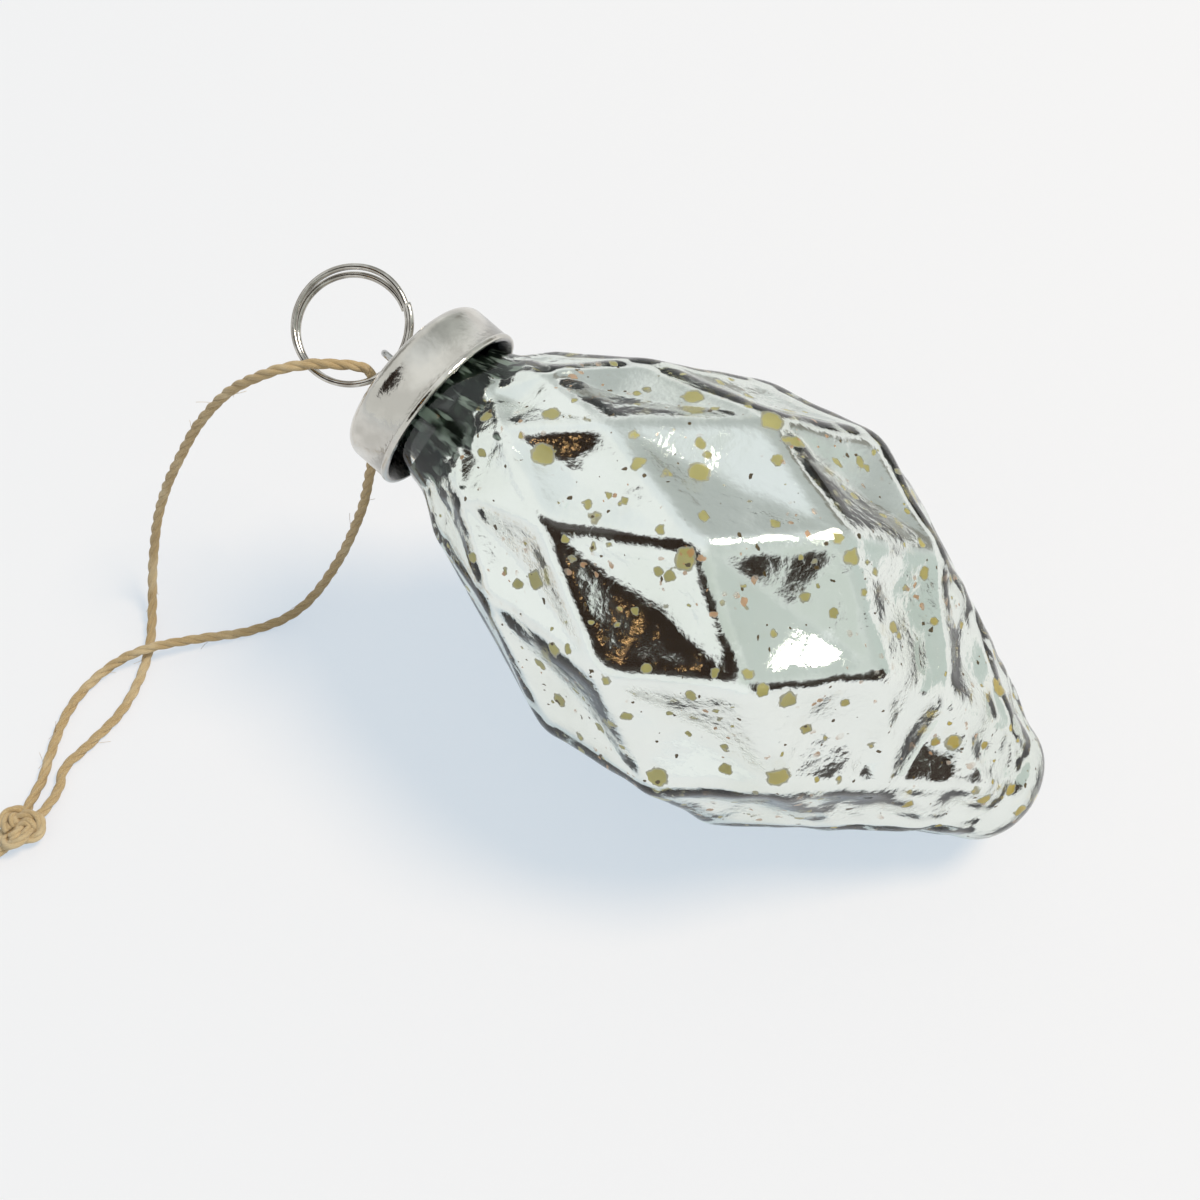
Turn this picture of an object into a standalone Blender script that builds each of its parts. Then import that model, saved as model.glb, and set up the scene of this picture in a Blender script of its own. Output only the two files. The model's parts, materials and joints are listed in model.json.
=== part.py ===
"""Icicle hanging ornament: a blown glass drop with a diamond relief, its metal cap, wire hanger,
split ring and twine loop, lying on a table the way it is photographed.

All sizes are in metres and +Z is up. The drop lies on one relief point and the two points of the
next row, with its tip towards +X, so the table touches it at three places.
"""
import math

import bpy
from mathutils import Matrix, Vector

# Glass drop: rows of relief points from the neck to the tip.
# AXIAL is the distance along the axis from the root of the neck, RADIUS the size of the points there,
# and TWIST how far the hand-made mould's last rows are turned.
ROW_AXIAL = (0.0030, 0.0124, 0.0276, 0.0410, 0.0535, 0.0645, 0.0760)
ROW_RADIUS = (0.0145, 0.0203, 0.0274, 0.0292, 0.0256, 0.0186, 0.0123)
ROW_TWIST = (0.0, 0.0, 0.0, 0.0, 0.0, math.radians(12.0), math.radians(14.0))
DIAMONDS_ROUND = 8
CELL_SINK = 0.0018
RIDGE_ROUND = 0.05
CELL_SPLIT = 3
WALL = 0.0020
LOW_ROW = 3

# Neck and tip of the glass drop.
NECK_LIP_RADIUS = 0.0089
NECK_MID_AXIAL = -0.0050
NECK_MID_RADIUS = 0.0092
NECK_FLARE_AXIAL = -0.0025
NECK_FLARE_RADIUS = 0.0100
NECK_ROOT_AXIAL = -0.0010
NECK_ROOT_RADIUS = 0.0107
NECK_WALL = 0.0015
TIP_RING_AXIAL = 0.0812
TIP_RING_RADIUS = 0.0088
TIP_END_AXIAL = 0.0873

# Cap: it sits loosely on the neck, so it sags and turns a little to one side.
CAP_HEIGHT = 0.0072
CAP_WALL = 0.00055
CAP_FILLET = 0.0020
CAP_BEAD = 0.00018
CAP_BEAD_HEIGHT = 0.0008
CAP_RIM_AXIAL = -0.0042
CAP_SAG = math.radians(8.6)
CAP_YAW = math.radians(12.9)
SEAT_GAP = 0.0003

# Wire hanger: an eye above the cap and two legs sprung apart inside the neck.
HANGER_WIRE = 0.0009
EYE_RADIUS = 0.0020
EYE_RISE = 0.0020
EYE_OPEN = math.radians(50.0)
WAIST_HALF = 0.0007
WAIST_DROP = 0.0009
LEG_REACH = 0.0020

# Split ring: two turns of wire, with both ends near the eye.
RING_WIRE = 0.0009
RING_OUTER = 0.0160
RING_TURNS = 2
RING_GAP = 0.00045
RING_END = math.radians(61.0)
RING_TURN = math.radians(-24.4)

# Twine: one length doubled through the ring and knotted.
CORD_RADIUS = 0.0007
CORD_STEP = 0.0027
KNOT_CENTRE = (-0.0669, -0.0612, 0.00225)
KNOT_RADII = (0.0032, 0.0032, 0.0022)

# Route of the twine. The table points are measured from the spot under the lowest relief point,
# and the ring points from the centre of the eye, in the eye's own axes.
STRAND_UP = (
    (-0.0659, -0.0576, 0.0015), (-0.0663, -0.0540, 0.0009), (-0.0676, -0.0508, 0.00075),
    (-0.0667, -0.0463, 0.00075), (-0.0657, -0.0405, 0.00075), (-0.0664, -0.0345, 0.00075),
    (-0.0682, -0.0294, 0.00075), (-0.0711, -0.0238, 0.0024), (-0.0722, -0.0196, 0.0080),
    (-0.0709, -0.0159, 0.0170), (-0.0674, -0.0135, 0.0260), (-0.0630, -0.0103, 0.0350),
    (-0.0579, -0.0080, 0.0420), (-0.0519, -0.0061, 0.0470),
)
RING_PASS = (
    (0.0030, -0.0074, 0.0080), (0.0024, -0.0052, 0.0056), (0.0006, -0.0035, 0.0036),
    (-0.0016, -0.0033, 0.0026), (-0.0034, -0.0048, 0.0017), (-0.0050, -0.0076, 0.0006),
    (-0.0066, -0.0100, -0.0008), (-0.0086, -0.0112, -0.0030),
)
STRAND_DOWN = (
    (-0.0408, -0.0047, 0.0300), (-0.0427, -0.0058, 0.0220), (-0.0456, -0.0081, 0.0130),
    (-0.0491, -0.0118, 0.0050), (-0.0522, -0.0161, 0.0015), (-0.0564, -0.0206, 0.0008),
    (-0.0619, -0.0254, 0.0017), (-0.0669, -0.0302, 0.00275), (-0.0706, -0.0342, 0.0016),
    (-0.0726, -0.0394, 0.00075), (-0.0723, -0.0446, 0.00075), (-0.0706, -0.0504, 0.00075),
    (-0.0692, -0.0540, 0.0009), (-0.0683, -0.0576, 0.0015),
)
TAIL_LEFT = ((-0.0696, -0.0634, 0.0013), (-0.0738, -0.0668, 0.00078), (-0.0782, -0.0678, 0.00075))
TAIL_RIGHT = ((-0.0676, -0.0646, 0.0013), (-0.0697, -0.0692, 0.00078), (-0.0734, -0.0722, 0.00075))

# Shared sizes worked out from the ones above.
HALF_PITCH = math.pi / DIAMONDS_ROUND
REST_TILT = math.atan2(
    ROW_RADIUS[LOW_ROW] - ROW_RADIUS[LOW_ROW + 1] * math.cos(HALF_PITCH),
    ROW_AXIAL[LOW_ROW + 1] - ROW_AXIAL[LOW_ROW],
)
RING_RADIUS = RING_OUTER / 2 - RING_WIRE / 2
RING_PITCH = RING_WIRE + RING_GAP


def clear_scene():
    """Remove whatever the start-up scene holds."""
    for thing in list(bpy.data.objects):
        bpy.data.objects.remove(thing, do_unlink=True)


def make_material(name, colour, metallic, roughness, transmission):
    """Return a Principled material for one piece."""
    mat = bpy.data.materials.new(name)
    mat.use_nodes = True
    shader = mat.node_tree.nodes["Principled BSDF"]
    shader.inputs["Base Color"].default_value = (*colour, 1.0)
    shader.inputs["Metallic"].default_value = metallic
    shader.inputs["Roughness"].default_value = roughness
    shader.inputs["Transmission Weight"].default_value = transmission
    return mat


def place_empty(collection, name, matrix, parent=None):
    """Add an empty that places the pieces parented to it."""
    empty = bpy.data.objects.new(name, None)
    empty.empty_display_size = 0.005
    collection.objects.link(empty)
    empty.parent = parent
    empty.matrix_basis = matrix
    return empty


def place_piece(collection, name, data, material, parent, matrix=None):
    """Add one named piece with its own material under its parent empty."""
    data.materials.append(material)
    piece = bpy.data.objects.new(name, data)
    collection.objects.link(piece)
    piece.parent = parent
    if matrix is not None:
        piece.matrix_basis = matrix
    return piece


def straight_between(knots, value):
    """Read a height off straight lines between (place, height) pairs."""
    for (a, fa), (b, fb) in zip(knots, knots[1:]):
        if value <= b:
            return fa + (fb - fa) * (value - a) / (b - a)
    return knots[-1][1]


def neck_outline():
    """Return (axial, radius) of the neck from its lip to the first row of points."""
    return [
        (neck_top(), NECK_LIP_RADIUS),
        (NECK_MID_AXIAL, NECK_MID_RADIUS),
        (NECK_FLARE_AXIAL, NECK_FLARE_RADIUS),
        (NECK_ROOT_AXIAL, NECK_ROOT_RADIUS),
        (ROW_AXIAL[0], ROW_RADIUS[0]),
    ]


def cap_direction():
    """Return the cap's outward direction: the drop's own, sagged and turned to one side."""
    rise = REST_TILT - CAP_SAG
    return Vector((
        -math.cos(rise) * math.cos(CAP_YAW),
        math.cos(rise) * math.sin(CAP_YAW),
        math.sin(rise),
    ))


def cap_lean():
    """Return the angle between the cap's axis and the drop's."""
    outward = Vector((-math.cos(REST_TILT), 0.0, math.sin(REST_TILT)))
    return outward.angle(cap_direction())


def neck_top():
    """Return where the lip ends, so that the leaning cap's top just clears it."""
    room = CAP_HEIGHT - CAP_WALL - SEAT_GAP - NECK_LIP_RADIUS * math.sin(cap_lean())
    return CAP_RIM_AXIAL - room / math.cos(cap_lean())


def cap_bore():
    """Return the skirt's inner radius: the leaning rim clears the flare of the neck."""
    flare = neck_outline()
    bore = NECK_ROOT_RADIUS
    for _ in range(30):
        low_side = CAP_RIM_AXIAL + bore * math.sin(cap_lean())
        bore = (straight_between(flare, low_side) + SEAT_GAP) / math.cos(cap_lean())
    return bore


def row_tables(inset):
    """Return axial place, point radius, hollow radius and twist of each row, pushed in by inset.

    A hollow's bottom lies below the straight lines between the points on its four sides.
    """
    axial = (NECK_ROOT_AXIAL,) + ROW_AXIAL + (TIP_RING_AXIAL,)
    points = (NECK_ROOT_RADIUS,) + ROW_RADIUS + (TIP_RING_RADIUS,)
    hollows = [points[0]]
    for i in range(1, len(axial) - 1):
        part = (axial[i] - axial[i - 1]) / (axial[i + 1] - axial[i - 1])
        along = points[i - 1] + (points[i + 1] - points[i - 1]) * part
        across = points[i] * math.cos(HALF_PITCH)
        hollows.append(min(along, across) - CELL_SINK)
    hollows.append(points[-1])
    points = [r - inset for r in points]
    hollows = [r - inset * 0.95 for r in hollows]
    twist = (0.0,) + ROW_TWIST + (ROW_TWIST[-1],)
    return axial, points, hollows, twist


def is_raised(row, column):
    """Tell whether a corner is a raised point: the low row has one straight down."""
    return (row + column + LOW_ROW + 1) % 2 == 0


def corner(tables, row, column):
    """Return the place of one corner of the relief: a raised point or a hollow's bottom."""
    axial, points, hollows, twist = tables
    raised = is_raised(row, column)
    radius = points[row] if raised else hollows[row]
    angle = column * HALF_PITCH + twist[row]
    return Vector((-radius * math.cos(angle), radius * math.sin(angle), -axial[row])), raised


def relief_point(tables, row, column, u, v, inset):
    """Return a place on the relief: flat between its corners, with the ridges rounded off.

    u runs along the axis and v round the drop, each from 0 to 1 inside one square of corners.
    """
    a, a_raised = corner(tables, row, column)
    b, _ = corner(tables, row, column + 1)
    c, _ = corner(tables, row + 1, column)
    d, _ = corner(tables, row + 1, column + 1)
    if a_raised:
        if u >= v:
            place = a + (c - a) * u + (d - c) * v
        else:
            place = a + (b - a) * v + (d - b) * u
        from_ridge = abs(u - v) / 2
    else:
        if u + v <= 1:
            place = a + (c - a) * u + (b - a) * v
        else:
            place = d + (b - d) * (1 - u) + (c - d) * (1 - v)
        from_ridge = abs(u + v - 1) / 2
    if inset or row == 0 or row == len(tables[0]) - 2:
        return place
    steepness = 4.0 * CELL_SINK
    off = steepness * (math.hypot(from_ridge, RIDGE_ROUND) - from_ridge)
    flat = Vector((place.x, place.y, 0.0))
    return place - flat.normalized() * off


def skin_rings(inset, neck_inset):
    """Return the rings of one glass skin, from the lip to the last ring before the tip."""
    columns = 2 * DIAMONDS_ROUND * CELL_SPLIT
    rings = []
    for axial, radius in neck_outline()[:3]:
        ring = []
        for k in range(columns):
            angle = k * HALF_PITCH / CELL_SPLIT
            r = radius - neck_inset
            ring.append(Vector((-r * math.cos(angle), r * math.sin(angle), -axial)))
        rings.append(ring)
    tables = row_tables(inset)
    rows = len(tables[0]) - 1
    for row in range(rows):
        for part in range(CELL_SPLIT):
            u = part / CELL_SPLIT
            ring = []
            for k in range(columns):
                column, rest = divmod(k, CELL_SPLIT)
                ring.append(relief_point(tables, row, column, u, rest / CELL_SPLIT, inset))
            rings.append(ring)
    dome_height = TIP_END_AXIAL - TIP_RING_AXIAL
    for part in range(4):
        turn = math.radians(90.0) * part / 4
        radius = (TIP_RING_RADIUS - inset) * math.cos(turn)
        axial = TIP_RING_AXIAL + (dome_height - inset) * math.sin(turn)
        ring = []
        for k in range(columns):
            angle = k * HALF_PITCH / CELL_SPLIT + ROW_TWIST[-1]
            ring.append(Vector((-radius * math.cos(angle), radius * math.sin(angle), -axial)))
        rings.append(ring)
    return rings


def glass_mesh():
    """Build the hollow glass drop: outer relief, rounded lip and inner skin as one closed shell.

    Nothing else makes this relief, so its rings of points are joined by hand.
    """
    outer = skin_rings(0.0, 0.0)
    inner = skin_rings(WALL, NECK_WALL)
    lip = []
    for out_point, in_point in zip(outer[0], inner[0]):
        middle = (out_point + in_point) / 2
        lip.append(Vector((middle.x, middle.y, middle.z + NECK_WALL * 0.3)))
    rings = inner[::-1] + [lip] + outer
    columns = len(lip)
    verts = [p for ring in rings for p in ring]
    inner_pole = len(verts)
    verts.append(Vector((0.0, 0.0, -(TIP_END_AXIAL - WALL))))
    outer_pole = len(verts)
    verts.append(Vector((0.0, 0.0, -TIP_END_AXIAL)))
    faces = []
    first_outer = len(inner) + 1 + 3
    last_inner = len(inner) - 4
    for i in range(len(rings) - 1):
        row = (i - first_outer) // CELL_SPLIT if i >= first_outer else (last_inner - i) // CELL_SPLIT
        for k in range(columns):
            a = i * columns + k
            b = i * columns + (k + 1) % columns
            c = (i + 1) * columns + k
            d = (i + 1) * columns + (k + 1) % columns
            ridge_down = is_raised(row, k // CELL_SPLIT)
            if i < first_outer:
                ridge_down = not is_raised(row - 1, k // CELL_SPLIT)
            if ridge_down:
                faces.append((a, b, d))
                faces.append((a, d, c))
            else:
                faces.append((a, b, c))
                faces.append((b, d, c))
    last = (len(rings) - 1) * columns
    for k in range(columns):
        after = (k + 1) % columns
        faces.append((inner_pole, after, k))
        faces.append((outer_pole, last + k, last + after))
    mesh = bpy.data.meshes.new("glass_body")
    mesh.from_pydata([tuple(v) for v in verts], [], faces)
    mesh.validate()
    mesh.update()
    return mesh


def turned_piece(collection, name, profile, steps, material, parent):
    """Turn a closed outline of (radius, height) about the piece's Z axis with a Screw modifier."""
    count = len(profile)
    mesh = bpy.data.meshes.new(name)
    mesh.from_pydata(
        [(r, 0.0, z) for r, z in profile],
        [(i, (i + 1) % count) for i in range(count)],
        [],
    )
    piece = place_piece(collection, name, mesh, material, parent)
    turn = piece.modifiers.new("turn", "SCREW")
    turn.axis = "Z"
    turn.angle = math.radians(360.0)
    turn.steps = steps
    turn.render_steps = steps
    turn.use_merge_vertices = True
    turn.merge_threshold = 0.00001
    turn.use_smooth_shade = False
    return piece


def cap_profile(hole_radius):
    """Return the cap's wall outline, down its outside from the hole and up its inside."""
    bore = cap_bore()
    outer = bore + CAP_WALL
    outline = [(hole_radius, 0.0)]
    for step in range(5):
        turn = math.radians(90.0) * step / 4
        outline.append((
            outer - CAP_FILLET + CAP_FILLET * math.sin(turn),
            -CAP_FILLET + CAP_FILLET * math.cos(turn),
        ))
    outline.append((outer, -CAP_HEIGHT + CAP_BEAD_HEIGHT))
    outline.append((outer + CAP_BEAD, -CAP_HEIGHT + CAP_BEAD_HEIGHT * 0.7))
    outline.append((outer + CAP_BEAD, -CAP_HEIGHT + CAP_BEAD_HEIGHT * 0.25))
    outline.append((outer, -CAP_HEIGHT))
    outline.append((bore, -CAP_HEIGHT))
    inside = CAP_FILLET - CAP_WALL
    for step in range(4, -1, -1):
        turn = math.radians(90.0) * step / 4
        outline.append((
            outer - CAP_FILLET + inside * math.sin(turn),
            -CAP_FILLET + inside * math.cos(turn),
        ))
    outline.append((hole_radius, -CAP_WALL))
    return outline


def tube_piece(collection, name, points, radius, fineness, material, parent, matrix=None):
    """Run a round tube with closed ends along a list of places."""
    curve = bpy.data.curves.new(name, "CURVE")
    curve.dimensions = "3D"
    curve.bevel_depth = radius
    curve.bevel_resolution = fineness
    curve.use_fill_caps = True
    spline = curve.splines.new("POLY")
    spline.points.add(len(points) - 1)
    for slot, place in zip(spline.points, points):
        slot.co = (place[0], place[1], place[2], 1.0)
    return place_piece(collection, name, curve, material, parent, matrix)


def smooth_route(points, step):
    """Return places about one step apart along a smooth curve through all the given ones."""
    fine = []
    ends = [points[0] * 2 - points[1]] + list(points) + [points[-1] * 2 - points[-2]]
    for p, q, r, s in zip(ends, ends[1:], ends[2:], ends[3:]):
        for i in range(16):
            w = i / 16
            fine.append(0.5 * (
                q * 2
                + (r - p) * w
                + (p * 2 - q * 5 + r * 4 - s) * w ** 2
                + (q * 3 - p - r * 3 + s) * w ** 3
            ))
    fine.append(points[-1])
    walked = [0.0]
    for a, b in zip(fine, fine[1:]):
        walked.append(walked[-1] + (b - a).length)
    count = max(2, round(walked[-1] / step))
    route = []
    spot = 0
    for i in range(count + 1):
        target = walked[-1] * i / count
        while spot < len(walked) - 2 and walked[spot + 1] < target:
            spot += 1
        part = (target - walked[spot]) / (walked[spot + 1] - walked[spot])
        route.append(fine[spot].lerp(fine[spot + 1], part))
    return route


def self_gap(points, radius, apart):
    """Return the least gap between stretches of one tube that are at least apart along it."""
    fine = []
    for a, b in zip(points, points[1:]):
        for i in range(6):
            fine.append(a.lerp(b, i / 6))
    fine.append(points[-1])
    walked = [0.0]
    for a, b in zip(fine, fine[1:]):
        walked.append(walked[-1] + (b - a).length)
    least = 1.0
    for i in range(len(fine)):
        for j in range(i + 1, len(fine)):
            if walked[j] - walked[i] > apart:
                least = min(least, (fine[i] - fine[j]).length)
    return least - 2 * radius


def hanger_points(eye, drop):
    """Return the wire's places in the eye's axes: leg, waist, eye, waist, leg."""
    to_eye = eye.inverted() @ drop
    sideways = drop.to_3x3().inverted() @ eye.to_3x3() @ Vector((1.0, 0.0, 0.0))
    sideways.z = 0.0
    sideways.normalize()
    spread = NECK_LIP_RADIUS - NECK_WALL - SEAT_GAP - HANGER_WIRE / 2
    legs = []
    for side in (1.0, -1.0):
        tip = sideways * side * spread
        knee = sideways * side * spread * 0.72
        tip.z = -LEG_REACH
        knee.z = -NECK_MID_AXIAL
        legs.append([to_eye @ tip, to_eye @ knee, Vector((side * WAIST_HALF, 0.0, -EYE_RISE - WAIST_DROP))])
    arc = []
    for i in range(15):
        turn = -EYE_OPEN + (math.pi + 2 * EYE_OPEN) * i / 14
        arc.append(Vector((EYE_RADIUS * math.cos(turn), 0.0, EYE_RADIUS * math.sin(turn))))
    return legs[0] + arc + legs[1][::-1]


def hole_radius():
    """Return the cap hole's radius: it clears the wire where the wire passes the cap's top."""
    high = (EYE_RADIUS * math.cos(EYE_OPEN), EYE_RISE - EYE_RADIUS * math.sin(EYE_OPEN))
    low = (WAIST_HALF, -WAIST_DROP)
    part = (high[1] - 0.0) / (high[1] - low[1])
    at_face = high[0] + (low[0] - high[0]) * max(0.0, part)
    return at_face + HANGER_WIRE / 2 + SEAT_GAP


def ring_points():
    """Return the split ring's places in the eye's axes: two turns with the pair centred in the eye."""
    per_turn = 24
    total = per_turn * RING_TURNS
    sweep = 2 * math.pi * RING_TURNS
    at_eye = [(2 * math.pi * (k + 1) - RING_END) / sweep for k in range(RING_TURNS)]
    middle = sum(at_eye) / len(at_eye)
    points = []
    for i in range(total + 1):
        part = i / total
        turn = RING_END + sweep * part
        points.append(Vector((
            RING_PITCH * RING_TURNS * (part - middle),
            RING_RADIUS * math.sin(turn),
            RING_RADIUS * (1 - math.cos(turn)),
        )))
    return points


def knot_mesh():
    """Build the knot as one rounded lump of rings about its middle."""
    around = 16
    levels = 9
    verts = [(0.0, 0.0, KNOT_RADII[2])]
    for level in range(1, levels):
        rise = math.pi * level / levels
        for k in range(around):
            turn = 2 * math.pi * k / around
            verts.append((
                KNOT_RADII[0] * math.sin(rise) * math.cos(turn),
                KNOT_RADII[1] * math.sin(rise) * math.sin(turn),
                KNOT_RADII[2] * math.cos(rise),
            ))
    bottom = len(verts)
    verts.append((0.0, 0.0, -KNOT_RADII[2]))
    faces = []
    for k in range(around):
        after = (k + 1) % around
        faces.append((0, 1 + k, 1 + after))
        last = 1 + (levels - 2) * around
        faces.append((bottom, last + after, last + k))
        for level in range(levels - 2):
            first = 1 + level * around
            faces.append((first + k, first + around + k, first + around + after, first + after))
    mesh = bpy.data.meshes.new("cord_knot")
    mesh.from_pydata(verts, [], faces)
    mesh.validate()
    mesh.update()
    return mesh


def bounds_of(pieces):
    """Return the low and high corners of the finished pieces."""
    graph = bpy.context.evaluated_depsgraph_get()
    low = Vector((1.0, 1.0, 1.0))
    high = -low
    for piece in pieces:
        ready = piece.evaluated_get(graph)
        shape = ready.to_mesh()
        for vert in shape.vertices:
            place = ready.matrix_world @ vert.co
            low = Vector(map(min, low, place))
            high = Vector(map(max, high, place))
        ready.to_mesh_clear()
    return low, high


def main():
    """Build the ornament and centre it over the origin."""
    clear_scene()
    collection = bpy.data.collections.new("icicle_ornament")
    bpy.context.scene.collection.children.link(collection)
    glass = make_material("silvered_glass", (0.80, 0.83, 0.80), 0.0, 0.03, 1.0)
    nickel = make_material("satin_nickel", (0.66, 0.66, 0.65), 1.0, 0.35, 0.0)
    wire = make_material("hanger_steel", (0.55, 0.55, 0.54), 1.0, 0.30, 0.0)
    steel = make_material("ring_steel", (0.62, 0.62, 0.62), 1.0, 0.22, 0.0)
    twine = make_material("hemp_twine", (0.62, 0.46, 0.24), 0.0, 0.85, 0.0)
    knot_twine = make_material("hemp_knot", (0.60, 0.44, 0.23), 0.0, 0.85, 0.0)
    tail_twine_a = make_material("hemp_tail_left", (0.62, 0.46, 0.24), 0.0, 0.85, 0.0)
    tail_twine_b = make_material("hemp_tail_right", (0.62, 0.46, 0.24), 0.0, 0.85, 0.0)

    body = glass_mesh()
    lean = Matrix.Rotation(REST_TILT - math.pi / 2, 4, "Y")
    lowest = min((lean @ v.co).z for v in body.vertices)
    low_point = lean @ Vector((-ROW_RADIUS[LOW_ROW], 0.0, -ROW_AXIAL[LOW_ROW]))
    drop = Matrix.Translation((-low_point.x, 0.0, -lowest)) @ lean

    along = cap_direction()
    side_up = (Vector((0.0, 0.0, 1.0)) - along * along.z).normalized()
    side_level = along.cross(side_up)
    cap_turn = Matrix((side_up, side_level, along)).transposed().to_4x4()
    rim_centre = drop @ Vector((0.0, 0.0, -CAP_RIM_AXIAL))
    cap_place = Matrix.Translation(rim_centre + along * CAP_HEIGHT) @ cap_turn
    eye_place = cap_place @ Matrix.Translation((0.0, 0.0, EYE_RISE)) @ Matrix.Rotation(RING_TURN, 4, "Z")

    table = place_empty(collection, "ornament_on_table", Matrix.Identity(4))
    drop_at = place_empty(collection, "drop_axis", drop, table)
    cap_at = place_empty(collection, "cap_axis", cap_place, table)
    eye_at = place_empty(collection, "eye_centre", eye_place, table)

    glass_piece = place_piece(collection, "glass_body", body, glass, drop_at)
    cap_piece = turned_piece(collection, "cap", cap_profile(hole_radius()), 48, nickel, cap_at)
    hanger = tube_piece(
        collection, "hanger_wire", hanger_points(eye_place, drop), HANGER_WIRE / 2, 2, wire, eye_at
    )
    coil = ring_points()
    ring = tube_piece(collection, "split_ring", coil, RING_WIRE / 2, 1, steel, eye_at)

    places = [Vector(p) for p in STRAND_UP]
    places += [eye_place @ Vector(p) for p in RING_PASS]
    places += [Vector(p) for p in STRAND_DOWN]
    route = smooth_route(places, CORD_STEP)
    tube_piece(collection, "cord_loop", route, CORD_RADIUS, 2, twine, table)
    place_piece(
        collection, "cord_knot", knot_mesh(), knot_twine, table, Matrix.Translation(KNOT_CENTRE)
    )
    for name, tail, look in (
        ("cord_tail_left", TAIL_LEFT, tail_twine_a),
        ("cord_tail_right", TAIL_RIGHT, tail_twine_b),
    ):
        tail_route = smooth_route([Vector(p) for p in tail], CORD_STEP)
        tube_piece(collection, name, tail_route, CORD_RADIUS, 2, look, table)

    bpy.context.view_layer.update()
    low, high = bounds_of([glass_piece, cap_piece, hanger, ring])
    table.location = (-(low.x + high.x) / 2, -(low.y + high.y) / 2, -low.z)
    bpy.context.view_layer.update()

    print("least gap of the split ring to itself, mm:", round(self_gap(coil, RING_WIRE / 2, 0.02) * 1000, 3))
    print("least gap of the twine to itself, mm:", round(self_gap(route, CORD_RADIUS, 0.012) * 1000, 3))
    print("resting tilt, degrees:", round(math.degrees(REST_TILT), 3))
    print("table empty, mm:", [round(v * 1000, 3) for v in table.location])
    for name, place in (("drop", drop), ("cap", cap_place), ("eye", eye_place)):
        spot = table.location + place.translation
        print(name, "place, mm:", [round(v * 1000, 3) for v in spot])
        for axis, column in zip("xyz", place.to_3x3().transposed()):
            print("  axis", axis, [round(v, 5) for v in column])
    print("cap bore radius, mm:", round(cap_bore() * 1000, 3), "lip at, mm:", round(neck_top() * 1000, 3))
    print("cord length, mm:", round(sum((b - a).length for a, b in zip(route, route[1:])) * 1000, 2))


main()
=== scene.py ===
"""Looks of the silvered glass drop ornament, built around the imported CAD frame.

All places are in metres, in the frame's own axes: the table is z = 0 and the drop's tip points to +X.
"""
import json
import logging
import math
from dataclasses import dataclass
from enum import Enum

import bpy
import numpy as np
from mathutils import Matrix


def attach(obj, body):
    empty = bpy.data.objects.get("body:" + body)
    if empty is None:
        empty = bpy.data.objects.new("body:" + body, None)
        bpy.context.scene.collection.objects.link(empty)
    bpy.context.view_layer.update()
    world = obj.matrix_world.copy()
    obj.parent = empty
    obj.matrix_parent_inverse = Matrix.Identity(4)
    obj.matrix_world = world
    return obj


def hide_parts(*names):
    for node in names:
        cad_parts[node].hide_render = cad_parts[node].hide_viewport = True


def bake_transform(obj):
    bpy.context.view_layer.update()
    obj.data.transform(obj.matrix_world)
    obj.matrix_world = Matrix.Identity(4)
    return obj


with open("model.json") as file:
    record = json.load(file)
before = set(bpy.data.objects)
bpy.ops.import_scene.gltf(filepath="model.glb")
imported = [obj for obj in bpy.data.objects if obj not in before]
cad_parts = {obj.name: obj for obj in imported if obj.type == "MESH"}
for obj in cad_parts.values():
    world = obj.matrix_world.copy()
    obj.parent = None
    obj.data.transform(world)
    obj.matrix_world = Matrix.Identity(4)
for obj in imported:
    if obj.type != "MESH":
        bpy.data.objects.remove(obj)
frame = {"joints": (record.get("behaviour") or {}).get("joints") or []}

Array = np.ndarray
Point = tuple[float, float, float]
Colour = tuple[float, float, float]
Pair = tuple[float, float]
Piece = bpy.types.Object
Material = bpy.types.Material
Node = bpy.types.Node
Socket = bpy.types.NodeSocket
Tree = bpy.types.NodeTree
LOG = logging.getLogger("ornament")
MM = 0.001
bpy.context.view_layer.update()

# The place on the drop's axis from which its own lengths are counted.
DROP_ZERO = np.array((-0.026531, 0.0, 0.043019))
# The upward direction, and the mask that keeps what lies across an upright axis.
UP = np.array((0.0, 0.0, 1.0))
ACROSS_UP = np.array((1.0, 1.0, 0.0))
# How far apart the places of a wire or a cord lie, and in how many parts a stretch is first cut.
ROUTE_STEP = 0.0004
ROUTE_PARTS = 24
# The rise from which a route's start counts as upright.
UPRIGHT = 0.9


class Skin(Enum):
    """The surfaces of the blown glass, from outside to inside."""

    OUTER = "outer"
    FILM = "film"
    INNER = "inner"


class Body(Enum):
    """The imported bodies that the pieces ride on."""

    GLASS = "glass"
    HANGER = "hanger"
    CAP = "cap"
    RING = "ring"


def unit(vector: Array) -> Array:
    """Return the vectors scaled to length one."""
    return vector / np.linalg.norm(vector, axis=-1, keepdims=True)


@dataclass(frozen=True)
class Axes:
    """A place and three square directions in which a piece is worked out."""

    origin: Array
    x: Array
    y: Array
    z: Array

    def to_frame(self, local: Array) -> Array:
        """Carry places from these axes to the frame's axes.

        Args:
            local: places, with x, y and z in the last dimension.

        Returns:
            The origin plus each coordinate times its own direction.
        """
        return (
            self.origin
            + local[..., 0:1] * self.x
            + local[..., 1:2] * self.y
            + local[..., 2:3] * self.z
        )


def joint(name: str) -> dict:
    """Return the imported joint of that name."""
    return next(j for j in frame["joints"] if j["name"] == name)


def drop_axes() -> Axes:
    """Work out the drop's axes from the joint that the hanger pulls out on.

    Returns:
        Axes with z out of the neck and -x towards the table.
    """
    z = unit(np.array(joint("hanger_pull")["axis"], float))
    y = np.array((0.0, 1.0, 0.0))
    return Axes(DROP_ZERO, np.cross(y, z), y, z)


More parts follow.
